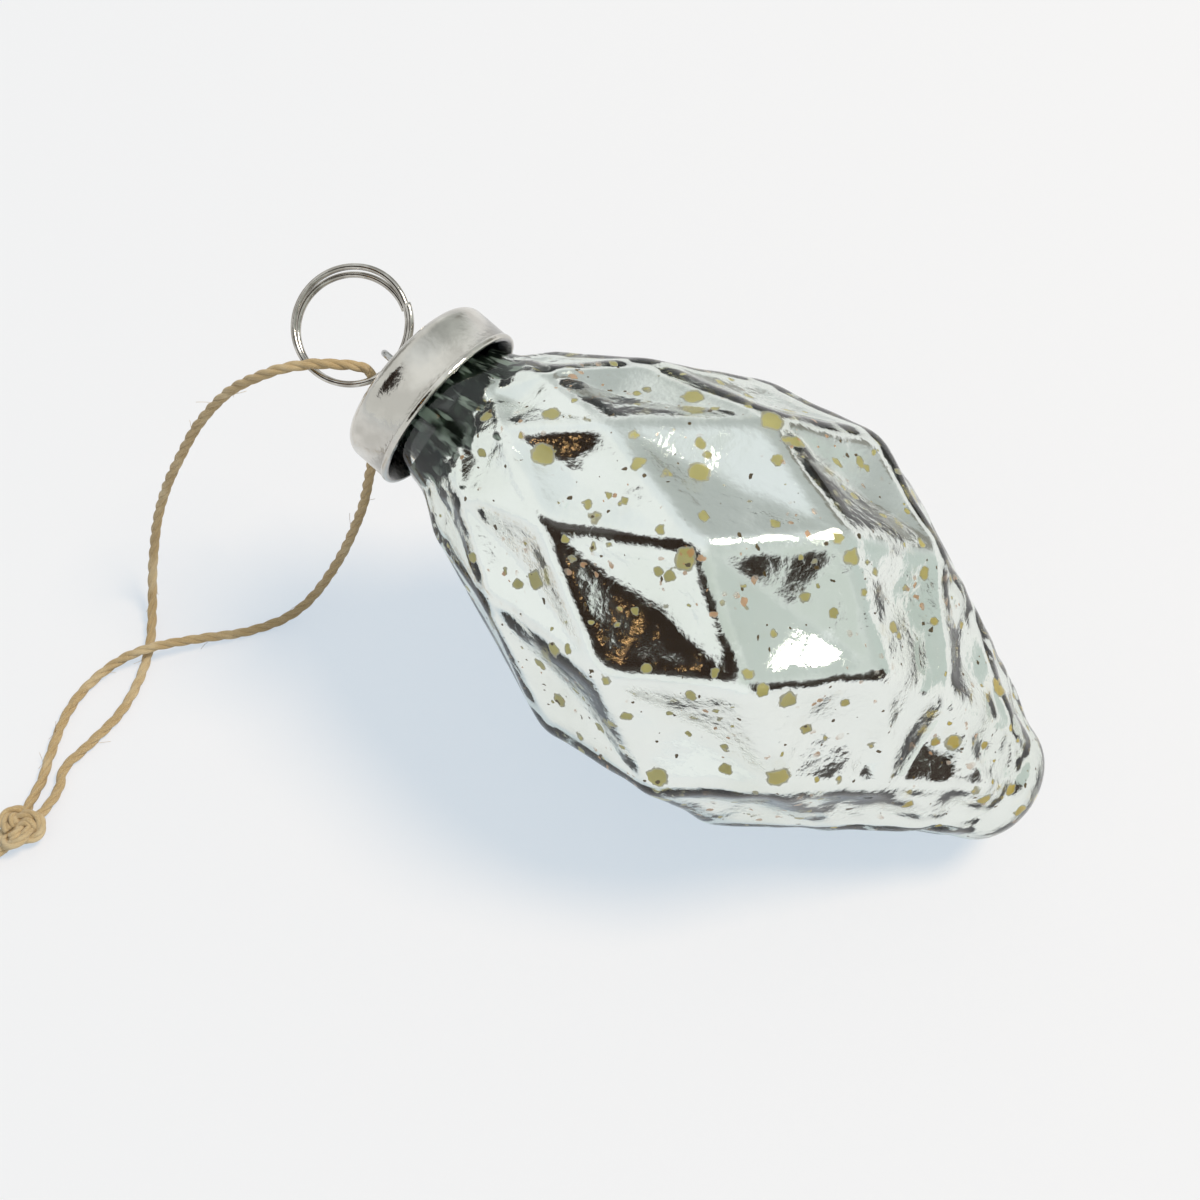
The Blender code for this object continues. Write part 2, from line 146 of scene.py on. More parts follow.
def eye_axes() -> Axes:
    """Work out the eye's axes from the ring's hinge and the cap's axis.

    Returns:
        Axes with y along the ring's hinge and z out along the cap's axis.
    """
    swing = joint("ring_swing")
    y = unit(np.array(swing["axis"], float))
    z = unit(np.array(joint("cap_turn")["axis"], float))
    return Axes(np.array(swing["pos_m"], float), np.cross(y, z), y, z)


def cap_axes() -> Axes:
    """Return the cap's axes: the eye's directions, from the middle of the cap's top face."""
    eye = eye_axes()
    return Axes(np.array(joint("cap_turn")["pos_m"], float), eye.x, eye.y, eye.z)


def ring_numbers(rings: int, columns: int) -> tuple[Array, Array]:
    """Number the points of a grid, ring by ring.

    Args:
        rings: how many rings of points there are.
        columns: how many points each ring has.

    Returns:
        The number of each point on all rings but the last, and of its next neighbour on its ring.
    """
    start = np.arange(rings - 1)[:, None] * columns
    k = np.arange(columns)[None, :]
    return start + k, start + (k + 1) % columns


def grid_faces(rings: int, columns: int) -> Array:
    """Join the points of a grid that closes on itself round its columns.

    Args:
        rings: how many rings of points there are.
        columns: how many points each ring has.

    Returns:
        Four point numbers a face: two neighbours on one ring and the same two on the next.
    """
    here, after = ring_numbers(rings, columns)
    return np.stack([here, after, after + columns, here + columns], -1).reshape(-1, 4)


def fan_faces(first: int, columns: int, pole: int, outward: bool) -> Array:
    """Close one ring onto a pole with triangles.

    Args:
        first: the number of the ring's first point.
        columns: how many points the ring has.
        pole: the number of the pole's point.
        outward: which way round the triangles run.

    Returns:
        Three point numbers a triangle.
    """
    k = np.arange(columns)
    here = first + k
    after = first + (k + 1) % columns
    top = np.full(columns, pole)
    order = [top, after, here] if outward else [top, here, after]
    return np.stack(order, -1)


def place_mesh(name: str, places: Array, faces: list[Array], body: Body) -> Piece:
    """Make a smooth-shaded piece from arrays, with its place in its mesh.

    Args:
        name: the piece's name.
        places: its points in the frame's axes.
        faces: arrays of point numbers, three or four a face.
        body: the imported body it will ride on.

    Returns:
        The new object, at the origin.
    """
    mesh = bpy.data.meshes.new(name)
    listed = [face for block in faces for face in block.tolist()]
    mesh.from_pydata(places.reshape(-1, 3).tolist(), [], listed)
    mesh.shade_smooth()
    piece = bpy.data.objects.new(name, mesh)
    bpy.context.scene.collection.objects.link(piece)
    LOG.info("%s: %d faces, on %s", name, len(listed), body.value)
    return piece


def mark_points(piece: Piece, name: str, values: Array) -> None:
    """Give each point of a piece a value that its material reads by that name."""
    marks = piece.data.attributes.new(name, "FLOAT", "POINT")
    marks.data.foreach_set("value", values.astype(np.float32))


def dress(piece: Piece, material: Material) -> None:
    """Give a piece its material."""
    piece.data.materials.append(material)


def walked_along(route: Array) -> Array:
    """Return the distance walked along a route at each of its places."""
    return np.concatenate([[0.0], np.cumsum(np.linalg.norm(np.diff(route, axis=0), axis=1))])


def smooth_route(points: Array) -> Array:
    """Draw a smooth curve through all the given points, with places one route step apart.

    Each stretch is the cubic whose slope at a point is half the way between its two neighbours.

    Args:
        points: the route's own points.

    Returns:
        Places evenly spaced along the curve, its two ends among them.
    """
    ends = np.vstack([2 * points[0] - points[1], points, 2 * points[-1] - points[-2]])
    w = (np.arange(ROUTE_PARTS) / ROUTE_PARTS)[None, :, None]
    p, q, r, s = (ends[i : len(ends) - 3 + i, None, :] for i in range(4))
    fine = 0.5 * (
        2 * q + (r - p) * w + (2 * p - 5 * q + 4 * r - s) * w**2 + (3 * q - p - 3 * r + s) * w**3
    )
    fine = np.vstack([fine.reshape(-1, 3), points[-1:]])
    walked = walked_along(fine)
    even = np.linspace(0.0, walked[-1], max(2, round(walked[-1] / ROUTE_STEP)) + 1)
    return np.stack([np.interp(even, walked, fine[:, i]) for i in range(3)], -1)


def carried_frames(route: Array) -> tuple[Array, Array]:
    """Work out two directions across a route at each place, turning no more than the route does.

    Each pair is the one before it with its part along the new direction taken away.

    Args:
        route: places along a line.

    Returns:
        The first and the second direction across, one of each for a place.
    """
    along = unit(np.gradient(route, axis=0))
    first = np.empty_like(along)
    start = UP if abs(along[0, 2]) < UPRIGHT else np.array((1.0, 0.0, 0.0))
    for i, way in enumerate(along):
        start = start - way * np.dot(start, way)
        start = start / np.linalg.norm(start)
        first[i] = start
    return first, np.cross(along, first)


def tube(route: Array, radius: Array | float, sides: int) -> tuple[Array, list[Array]]:
    """Carry a circle along a route and close both ends.

    Args:
        route: the places of the tube's centre line.
        radius: the tube's radius, for all of it or for each place.
        sides: how many points go round it.

    Returns:
        The tube's points and its faces.
    """
    first, second = carried_frames(route)
    turn = (np.arange(sides) * 2 * math.pi / sides)[None, :, None]
    across = np.cos(turn) * first[:, None] + np.sin(turn) * second[:, None]
    size = np.broadcast_to(np.asarray(radius, float), (len(route),))[:, None, None]
    places = (route[:, None, :] + across * size).reshape(-1, 3)
    count = len(places)
    faces = [
        grid_faces(len(route), sides),
        fan_faces(0, sides, count, True),
        fan_faces(count - sides, sides, count + 1, False),
    ]
    return np.vstack([places, route[:1], route[-1:]]), faces


class Graph:
    """A short way to write one node tree."""

    # A Mix node's sockets for colours share their names with its sockets for values.
    MIX_COLOURS = (6, 7)
    MIX_RESULT = 2

    def __init__(self, tree: Tree) -> None:
        """Keep the tree that the nodes go into."""
        self.tree = tree

    def node(self, kind: str, **settings: object) -> Node:
        """Add a node.

        Args:
            kind: the kind of node.
            **settings: its own settings.

        Returns:
            The new node.
        """
        made = self.tree.nodes.new(kind)
        for name, value in settings.items():
            setattr(made, name, value)
        return made

    def feed(self, target: Socket, source: object) -> None:
        """Put a constant on a socket, or wire another node's output to it.

        Args:
            target: the socket that takes the value.
            source: a constant or an output.
        """
        if isinstance(source, Socket):
            self.tree.links.new(source, target)
        else:
            target.default_value = source

    def fill(self, node: Node, values: dict[str, object]) -> Node:
        """Feed several sockets of a node.

        Args:
            node: the node to feed.
            values: what goes into each socket, by the socket's name.

        Returns:
            The same node.
        """
        for name, value in values.items():
            self.feed(node.inputs[name], value)
        return node

    def sum(
        self, operation: str, a: object, b: object = 0.0, c: object = 0.0, clamp: bool = False
    ) -> Socket:
        """Work out one sum.

        Args:
            operation: the kind of sum.
            a: the first value.
            b: the second value.
            c: the third value, which only a few kinds use.
            clamp: whether the outcome is kept between 0 and 1.

        Returns:
            The outcome.
        """
        made = self.node("ShaderNodeMath", operation=operation, use_clamp=clamp)
        for socket, value in zip(made.inputs, (a, b, c)):
            self.feed(socket, value)
        return made.outputs[0]

    def vector(self, operation: str, a: object, b: object) -> Socket:
        """Work out one sum of two vectors.

        Args:
            operation: the kind of sum.
            a: the first vector.
            b: the second vector.

        Returns:
            The outcome, a plain value where the kind gives one.
        """
        made = self.node("ShaderNodeVectorMath", operation=operation)
        self.feed(made.inputs[0], a)
        self.feed(made.inputs[1], b)
        return made.outputs["Value" if operation == "DOT_PRODUCT" else "Vector"]

    def blend(self, factor: object, a: object, b: object) -> Socket:
        """Go over from one colour to another.

        Args:
            factor: 0 for the first colour and 1 for the second.
            a: the first colour.
            b: the second colour.

        Returns:
            The blended colour.
        """
        made = self.node("ShaderNodeMix", data_type="RGBA")
        self.feed(made.inputs["Factor"], factor)
        for number, colour in zip(self.MIX_COLOURS, (a, b)):
            self.feed(made.inputs[number], colour if isinstance(colour, Socket) else (*colour, 1.0))
        return made.outputs[self.MIX_RESULT]

    def between(self, value: object, low: object, high: object) -> Socket:
        """Make a soft step.

        Args:
            value: what is compared.
            low: where the step starts.
            high: where it ends.

        Returns:
            0 below low and 1 above high.
        """
        made = self.node("ShaderNodeMapRange", interpolation_type="SMOOTHSTEP")
        self.fill(made, {"Value": value, "From Min": low, "From Max": high})
        return made.outputs["Result"]

    def noise(self, where: object, scale: object, detail: float = 2.0) -> Socket:
        """Make a cloudy value around one half.

        Args:
            where: the places it is looked up at.
            scale: how many clouds there are in a metre.
            detail: how broken up they are.

        Returns:
            The cloudy value.
        """
        made = self.node("ShaderNodeTexNoise")
        self.fill(made, {"Vector": where, "Scale": scale, "Detail": detail})
        return made.outputs["Fac"]

    def bump(self, shader: Node, height: Socket, strength: float, distance: float) -> None:
        """Let a height stand out of a shader's surface.

        Args:
            shader: the shader that gets it.
            height: the height, as a value from 0 to 1.
            strength: how much of it shows.
            distance: how high a value of 1 stands.
        """
        made = self.node("ShaderNodeBump")
        self.fill(made, {"Strength": strength, "Distance": distance, "Height": height})
        self.feed(shader.inputs["Normal"], made.outputs["Normal"])

    def group(self, shared: Tree, **values: object) -> Node:
        """Place a shared group with its own values."""
        return self.fill(self.node("ShaderNodeGroup", node_tree=shared), values)


def new_group(name: str, inputs: tuple[str, ...], outputs: tuple[str, ...]) -> tuple[Graph, Node, Node]:
    """Start a shared node group with named sockets for values, and for places where one is named Vector.

    Args:
        name: the group's name.
        inputs: the names of what goes in.
        outputs: the names of what comes out.

    Returns:
        The group's graph, its input node and its output node.
    """
    tree = bpy.data.node_groups.new(name, "ShaderNodeTree")
    for side, labels in (("INPUT", inputs), ("OUTPUT", outputs)):
        for label in labels:
            kind = "NodeSocketVector" if label == "Vector" else "NodeSocketFloat"
            tree.interface.new_socket(label, in_out=side, socket_type=kind)
    graph = Graph(tree)
    return graph, graph.node("NodeGroupInput"), graph.node("NodeGroupOutput")


def new_material(name: str) -> tuple[Material, Graph, Node]:
    """Start a material.

    Args:
        name: the material's name.

    Returns:
        The material, its graph and its Principled shader.
    """
    material = bpy.data.materials.new(name)
    material.use_nodes = True
    return material, Graph(material.node_tree), material.node_tree.nodes["Principled BSDF"]


def object_places(graph: Graph) -> Socket:
    """Return the piece's own coordinates, which are the frame's axes in metres."""
    return graph.node("ShaderNodeTexCoord").outputs["Object"]


def seen_rays(graph: Graph) -> Socket:
    """Tell the rays that show a thing from those that carry light.

    Args:
        graph: the graph of the table or the surround.

    Returns:
        1 for a ray that shows it straight, mirrored or through glass, and 0 for any other.
    """
    path = graph.node("ShaderNodeLightPath")
    seen = graph.sum("ADD", path.outputs["Is Camera Ray"], path.outputs["Is Glossy Ray"])
    return graph.sum("ADD", seen, path.outputs["Is Transmission Ray"], clamp=True)


@dataclass(frozen=True)
class ScatteredSpots:
    """The shared effect of scattered round spots with ragged edges.

    One point is scattered in each cell of space. Share says how many of them carry a spot, and Size
    how large the largest is, as a part of the cell. Spot is 1 inside and Rim 1 in a thin edge round it.
    """

    ragged_scale: float = 900.0
    ragged_reach: float = 0.0011
    least_size: float = 0.25
    spot_full: float = 0.86
    rim_end: float = 1.16

    def group(self) -> Tree:
        """Build the group: cells with ragged places, and in each a spot and a wider disc behind it.

        Returns:
            The group's node tree.
        """
        graph, given, out = new_group(
            "scattered_spots", ("Vector", "Scale", "Share", "Size"), ("Spot", "Rim")
        )
        where = given.outputs["Vector"]
        ragged = graph.node("ShaderNodeTexNoise")
        graph.fill(ragged, {"Vector": where, "Scale": self.ragged_scale})
        centred = graph.vector("SUBTRACT", ragged.outputs["Color"], (0.5, 0.5, 0.5))
        moved = graph.vector("ADD", where, graph.vector("MULTIPLY", centred, (self.ragged_reach,) * 3))
        cells = graph.node("ShaderNodeTexVoronoi", feature="F1")
        graph.fill(cells, {"Vector": moved, "Scale": given.outputs["Scale"]})
        drawn = graph.node("ShaderNodeSeparateColor")
        graph.fill(drawn, {"Color": cells.outputs["Color"]})
        carries = graph.sum("LESS_THAN", drawn.outputs["Red"], given.outputs["Share"])
        squared = graph.sum("POWER", drawn.outputs["Green"], 2.0)
        part = graph.sum("MULTIPLY_ADD", squared, 1.0 - self.least_size, self.least_size)
        size = graph.sum("MULTIPLY", graph.sum("MULTIPLY", part, given.outputs["Size"]), carries)
        discs = []
        for full, end in ((self.spot_full, 1.0), (1.0, self.rim_end)):
            low, high = (graph.sum("MULTIPLY", size, share) for share in (full, end))
            outside = graph.between(cells.outputs["Distance"], low, high)
            discs.append(graph.sum("MULTIPLY", graph.sum("SUBTRACT", 1.0, outside), carries))
        spot, whole = discs
        graph.fill(out, {"Spot": spot, "Rim": graph.sum("SUBTRACT", whole, spot, clamp=True)})
        return graph.tree


@dataclass(frozen=True)
class HandledWear:
    """The shared effect of handled metal: broad cloudy tone, fine tone and a faint grain.

    Tone goes from 0 to 1 over centimetres, Rough is a roughness around the value given, and Height a
    faint unevenness for the bump.
    """

    broad_detail: float = 3.0
    fine_ratio: float = 9.0
    tone: Pair = (0.35, 0.65)

    def group(self) -> Tree:
        """Build the group from two cloudy values, one finer than the other.

        Returns:
            The group's node tree.
        """
        graph, given, out = new_group(
            "handled_metal", ("Vector", "Scale", "Roughness", "Spread"), ("Tone", "Rough", "Height")
        )
        where, scale = given.outputs["Vector"], given.outputs["Scale"]
        broad = graph.noise(where, scale, self.broad_detail)
        fine = graph.noise(where, graph.sum("MULTIPLY", scale, self.fine_ratio))
        tone = graph.between(broad, *self.tone)
        away = graph.sum("SUBTRACT", tone, 0.5)
        grain = graph.sum("SUBTRACT", fine, 0.5)
        rough = graph.sum("MULTIPLY", graph.sum("ADD", away, grain), given.outputs["Spread"])
        graph.fill(
            out,
            {
                "Tone": tone,
                "Rough": graph.sum("ADD", rough, given.outputs["Roughness"], clamp=True),
                "Height": graph.sum("ADD", fine, broad),
            },
        )
        return graph.tree


@dataclass(frozen=True)
class Strewn:
    """How one kind of spot is strewn: cells in a metre, share of them with a spot, and largest size."""

    scale: float
    share: float
    size: float

    def place(self, graph: Graph, spots: Tree, where: Socket) -> Node:
        """Place the shared spots in a material, strewn like this."""
        return graph.group(spots, Vector=where, Scale=self.scale, Share=self.share, Size=self.size)


@dataclass(frozen=True)
class Cloud:
    """A cloudy mask: clouds in a metre, how broken up they are, and where it starts and is full."""

    scale: float
    detail: float
    start: float
    full: float

    def mask(self, graph: Graph, where: Socket) -> Socket:
        """Return the mask at the given places, from 0 to 1."""
        return graph.between(graph.noise(where, self.scale, self.detail), self.start, self.full)


@dataclass(frozen=True)
class ClearGlass:
    """Thick, slightly green blown glass."""

    tint: Colour = (0.935, 0.97, 0.948)
    edge: Colour = (0.46, 0.54, 0.38)
    edge_blend: float = 0.25
    edge_power: float = 2.0
    roughness: float = 0.012
    index: float = 1.5
    ripple_scale: float = 160.0
    ripple_detail: float = 1.0
    ripple_strength: float = 0.12
    ripple_height: float = 0.0006

    def material(self) -> Material:
        """Build the clear glass with faint blowing ripples in its surface.

        Returns:
            The glass's material.
        """
        material, graph, shader = new_material("clear_glass")
        slant = graph.node("ShaderNodeLayerWeight")
        graph.fill(slant, {"Blend": self.edge_blend})
        deep = graph.sum("POWER", slant.outputs["Facing"], self.edge_power)
        graph.fill(
            shader,
            {
                "Base Color": graph.blend(deep, self.tint, self.edge),
                "Roughness": self.roughness,
                "IOR": self.index,
                "Transmission Weight": 1.0,
            },
        )
        ripple = graph.noise(object_places(graph), self.ripple_scale, self.ripple_detail)
        graph.bump(shader, ripple, self.ripple_strength, self.ripple_height)
        return material


@dataclass(frozen=True)
class AgedSilver:
    """Silver film with olive and mustard age spots, fading at the neck to unsilvered glass, where the film
    is painted near black as painted shade of the dark hollow behind it.

    A pair of numbers that ends in mm is where a change starts and ends along the drop's axis. Any other
    pair is how many clouds there are in a metre and how broken up they are.
    """

    silver: Colour = (0.905, 0.91, 0.89)
    warm: Colour = (0.78, 0.80, 0.74)
    olive: Colour = (0.70, 0.625, 0.25)
    mustard: Colour = (0.76, 0.57, 0.13)
    brown: Colour = (0.16, 0.11, 0.05)
    rim: Colour = (0.40, 0.34, 0.14)
    # Partly the film's own coppery tarnish, partly painted glints: these specks are dull, so they show
    # coppery whatever they face.
    copper_and_glint: Colour = (0.78, 0.42, 0.20)
    # Painted shade: the film at the unsilvered neck is painted near black for the dark hollow behind it,
    # mottled a little lighter.
    bare_shade: Colour = (0.008, 0.013, 0.010)
    lighter_shade: Colour = (0.05, 0.075, 0.055)
    streaked: Colour = (0.36, 0.44, 0.38)
    large: Strewn = Strewn(195.0, 0.9, 0.29)
    middle: Strewn = Strewn(340.0, 0.85, 0.29)
    fine: Strewn = Strewn(800.0, 0.3, 0.3)
    flakes_and_glints: Strewn = Strewn(700.0, 0.8, 0.42)
    warming: Cloud = Cloud(70.0, 3.0, 0.42, 0.75)
    worn: Cloud = Cloud(130.0, 2.0, 0.54, 0.66)
    shade_mottling: Cloud = Cloud(520.0, 4.0, 0.45, 0.75)
    streaks: Cloud = Cloud(900.0, 2.0, 0.50, 0.60)
    streak_gaps: Cloud = Cloud(300.0, 2.0, 0.34, 0.56)
    warm_share: float = 0.5
    rim_share: float = 0.7
    glint_flake_share: float = 0.85
    mustard_mm: Pair = (38.0, 72.0)
    edge_mm: Pair = (-9.2, -8.5)
    edge_reach_mm: float = 9.0
    edge_cloud: Pair = (260.0, 5.0)
    edge_streaks: Pair = (480.0, 3.0)
    roughness: float = 0.07
    dull_roughness: float = 0.38
    gloss: float = 0.05
    wave: Pair = (260.0, 2.0)
    wrinkle: Pair = (1500.0, 3.0)
    wrinkle_share: float = 0.22
    ripple: float = 0.00014

    def aged(self, graph: Graph, spots: Tree, where: Socket, along: Socket) -> tuple[Socket, Socket]:
        """Lay warm clouds, spots with their rims, and dull coppery specks that are partly tarnish and
        partly painted glints, over the silver.

        Args:
            graph: the film's graph.
            spots: the shared group of scattered spots.
            where: the film's places.
            along: the distance along the drop's axis in mm.

        Returns:
            The colour, and the mask of all that is no bright silver.
        """
        large, middle, fine, flakes_and_glints = (
            kind.place(graph, spots, where).outputs
            for kind in (self.large, self.middle, self.fine, self.flakes_and_glints)
        )
        warmed = graph.sum("MULTIPLY", self.warming.mask(graph, where), self.warm_share)
        colour = graph.blend(warmed, self.silver, self.warm)
        spot = graph.sum("MAXIMUM", large["Spot"], middle["Spot"])
        rim = graph.sum("MAXIMUM", large["Rim"], middle["Rim"])
        tone = graph.blend(graph.between(along, *self.mustard_mm), self.olive, self.mustard)
        colour = graph.blend(graph.sum("MULTIPLY", rim, self.rim_share), colour, self.rim)
        colour = graph.blend(spot, colour, tone)
        colour = graph.blend(fine["Spot"], colour, self.brown)
        # Coppery specks within the worn cloud: partly tarnish, partly painted glints.
        worn = graph.sum("MULTIPLY", flakes_and_glints["Spot"], self.worn.mask(graph, where))
        flake_and_glint = graph.sum("MULTIPLY", worn, self.glint_flake_share)
        colour = graph.blend(flake_and_glint, colour, self.copper_and_glint)
        marked = graph.sum("MAXIMUM", graph.sum("MAXIMUM", spot, rim), fine["Spot"])
        return colour, graph.sum("MAXIMUM", marked, flake_and_glint)

    def bared(self, graph: Graph, where: Socket, along: Socket, axis: Array) -> tuple[Socket, Socket]:
        """Work out the neck's unsilvered glass behind the film's ragged edge, painted near black as painted
        shade of the hollow.

        Its marks are clouds in the places with their share along the axis taken out, so that they
        run along the neck as streaks.

        Args:
            graph: the film's graph.
            where: the film's places.
            along: the distance along the drop's axis in mm.
            axis: the drop's axis.

        Returns:
            The painted shade's colour with its pale streaks, and the mask of where the glass is unsilvered.
        """
        across = graph.vector("SUBTRACT", where, graph.vector("PROJECT", where, tuple(axis)))
        clouds = graph.noise(where, *self.edge_cloud)
        ragged = graph.sum("ADD", clouds, graph.noise(across, *self.edge_streaks))
        edge = graph.sum("SUBTRACT", along, graph.sum("MULTIPLY", ragged, self.edge_reach_mm))
        bare_shade = graph.sum("SUBTRACT", 1.0, graph.between(edge, *self.edge_mm))
        # Painted shade of the dark hollow behind the unsilvered neck, mottled a little lighter; pale
        # streaks run along it.
        neck_shade = graph.blend(self.shade_mottling.mask(graph, where), self.bare_shade, self.lighter_shade)
        gaps = self.streak_gaps.mask(graph, where)
        streaks = graph.sum("MULTIPLY", self.streaks.mask(graph, across), gaps)
        return graph.blend(streaks, neck_shade, self.streaked), bare_shade

    def material(self, spots: Tree, axis: Array) -> Material:
        """Build the film from the shared spots at four sizes and the mesh's own axial attribute.

        Args:
            spots: the shared group of scattered spots.
            axis: the drop's axis.

        Returns:
            The film's material.
        """
        material, graph, shader = new_material("aged_silver")
        where = object_places(graph)
        along = graph.node("ShaderNodeAttribute", attribute_name="along_axis").outputs["Fac"]
        colour, marked = self.aged(graph, spots, where, along)
        # The neck's colour is painted shade, and its mask is where the glass is unsilvered.
        neck, bare_shade = self.bared(graph, where, along, axis)
        dull = graph.sum("MAXIMUM", marked, bare_shade)
        graph.fill(
            shader,
            {
                "Base Color": graph.blend(bare_shade, colour, neck),
                "Metallic": graph.sum("SUBTRACT", 1.0, dull, clamp=True),
                "Roughness": graph.sum("MULTIPLY_ADD", dull, self.dull_roughness, self.roughness),
                "Specular IOR Level": self.gloss,
            },
        )
        wrinkle = graph.sum("MULTIPLY", graph.noise(where, *self.wrinkle), self.wrinkle_share)
        graph.bump(shader, graph.sum("ADD", graph.noise(where, *self.wave), wrinkle), 1.0, self.ripple)
        return material


@dataclass(frozen=True)
class HandledMetal:
    """A plated or drawn metal with cloudy wear, and painted shade, near black, where the mesh marks an
    inner side.
    """

    name: str
    light: Colour
    dark: Colour
    roughness: float
    spread: float
    scale: float
    grain: float
    grain_height: float = 0.0002
    # Painted shade: a marked inner side, such as the cap's, is painted this near black.
    inside: Colour = (0.02, 0.02, 0.018)

    def material(self, wear: Tree) -> Material:
        """Build the metal from the shared wear, with painted shade, near black, where the mesh marks the
        inner side.

        Args:
            wear: the shared group of handled metal.

        Returns:
            The metal's material.
        """
        material, graph, shader = new_material(self.name)
        where = object_places(graph)
        worn = graph.group(
            wear, Vector=where, Scale=self.scale, Roughness=self.roughness, Spread=self.spread
        ).outputs
        colour = graph.blend(worn["Tone"], self.dark, self.light)
        # Painted shade on the marked inner side.
        shaded_inside = graph.node("ShaderNodeAttribute", attribute_name="inside").outputs["Fac"]
        graph.fill(
            shader,
            {
                "Base Color": graph.blend(shaded_inside, colour, self.inside),
                "Metallic": 1.0,
                "Roughness": worn["Rough"],
            },
        )
        graph.bump(shader, worn["Height"], self.grain, self.grain_height)
        return material


@dataclass(frozen=True)
class HempTwine:
    """Dry tan hemp, streaked lighter and darker along its fibres."""

    light: Colour = (0.84, 0.68, 0.41)
    middle: Colour = (0.68, 0.50, 0.245)
    dark: Colour = (0.33, 0.19, 0.065)
    fibre_scale: Point = (14.0, 260.0, 1.0)
    fibre_detail: float = 3.0
    fibre_middle: Pair = (0.34, 0.58)
    fibre_light: Pair = (0.5, 0.72)
    fading: Cloud = Cloud(210.0, 2.0, 0.45, 0.7)
    fading_share: float = 0.6
    roughness: float = 0.86
    sheen: float = 0.25
    fibre_strength: float = 0.7
    fibre_height: float = 0.00012

    def material(self) -> Material:
        """Build the hemp: fibres drawn out along the cord's own UV, broken up by a cloud.

        Returns:
            The twine's material.
        """
        material, graph, shader = new_material("hemp_twine")
        strand = graph.node("ShaderNodeUVMap", uv_map="ply")
        drawn = graph.node("ShaderNodeMapping")
        graph.fill(drawn, {"Vector": strand.outputs["UV"], "Scale": self.fibre_scale})
        fibres = graph.noise(drawn.outputs["Vector"], 1.0, self.fibre_detail)
        colour = graph.blend(graph.between(fibres, *self.fibre_middle), self.dark, self.middle)
        colour = graph.blend(graph.between(fibres, *self.fibre_light), colour, self.light)
        faded = self.fading.mask(graph, object_places(graph))
        colour = graph.blend(graph.sum("MULTIPLY", faded, self.fading_share), colour, self.light)
        graph.fill(
            shader, {"Base Color": colour, "Roughness": self.roughness, "Sheen Weight": self.sheen}
        )
        graph.bump(shader, fibres, self.fibre_strength, self.fibre_height)
        return material


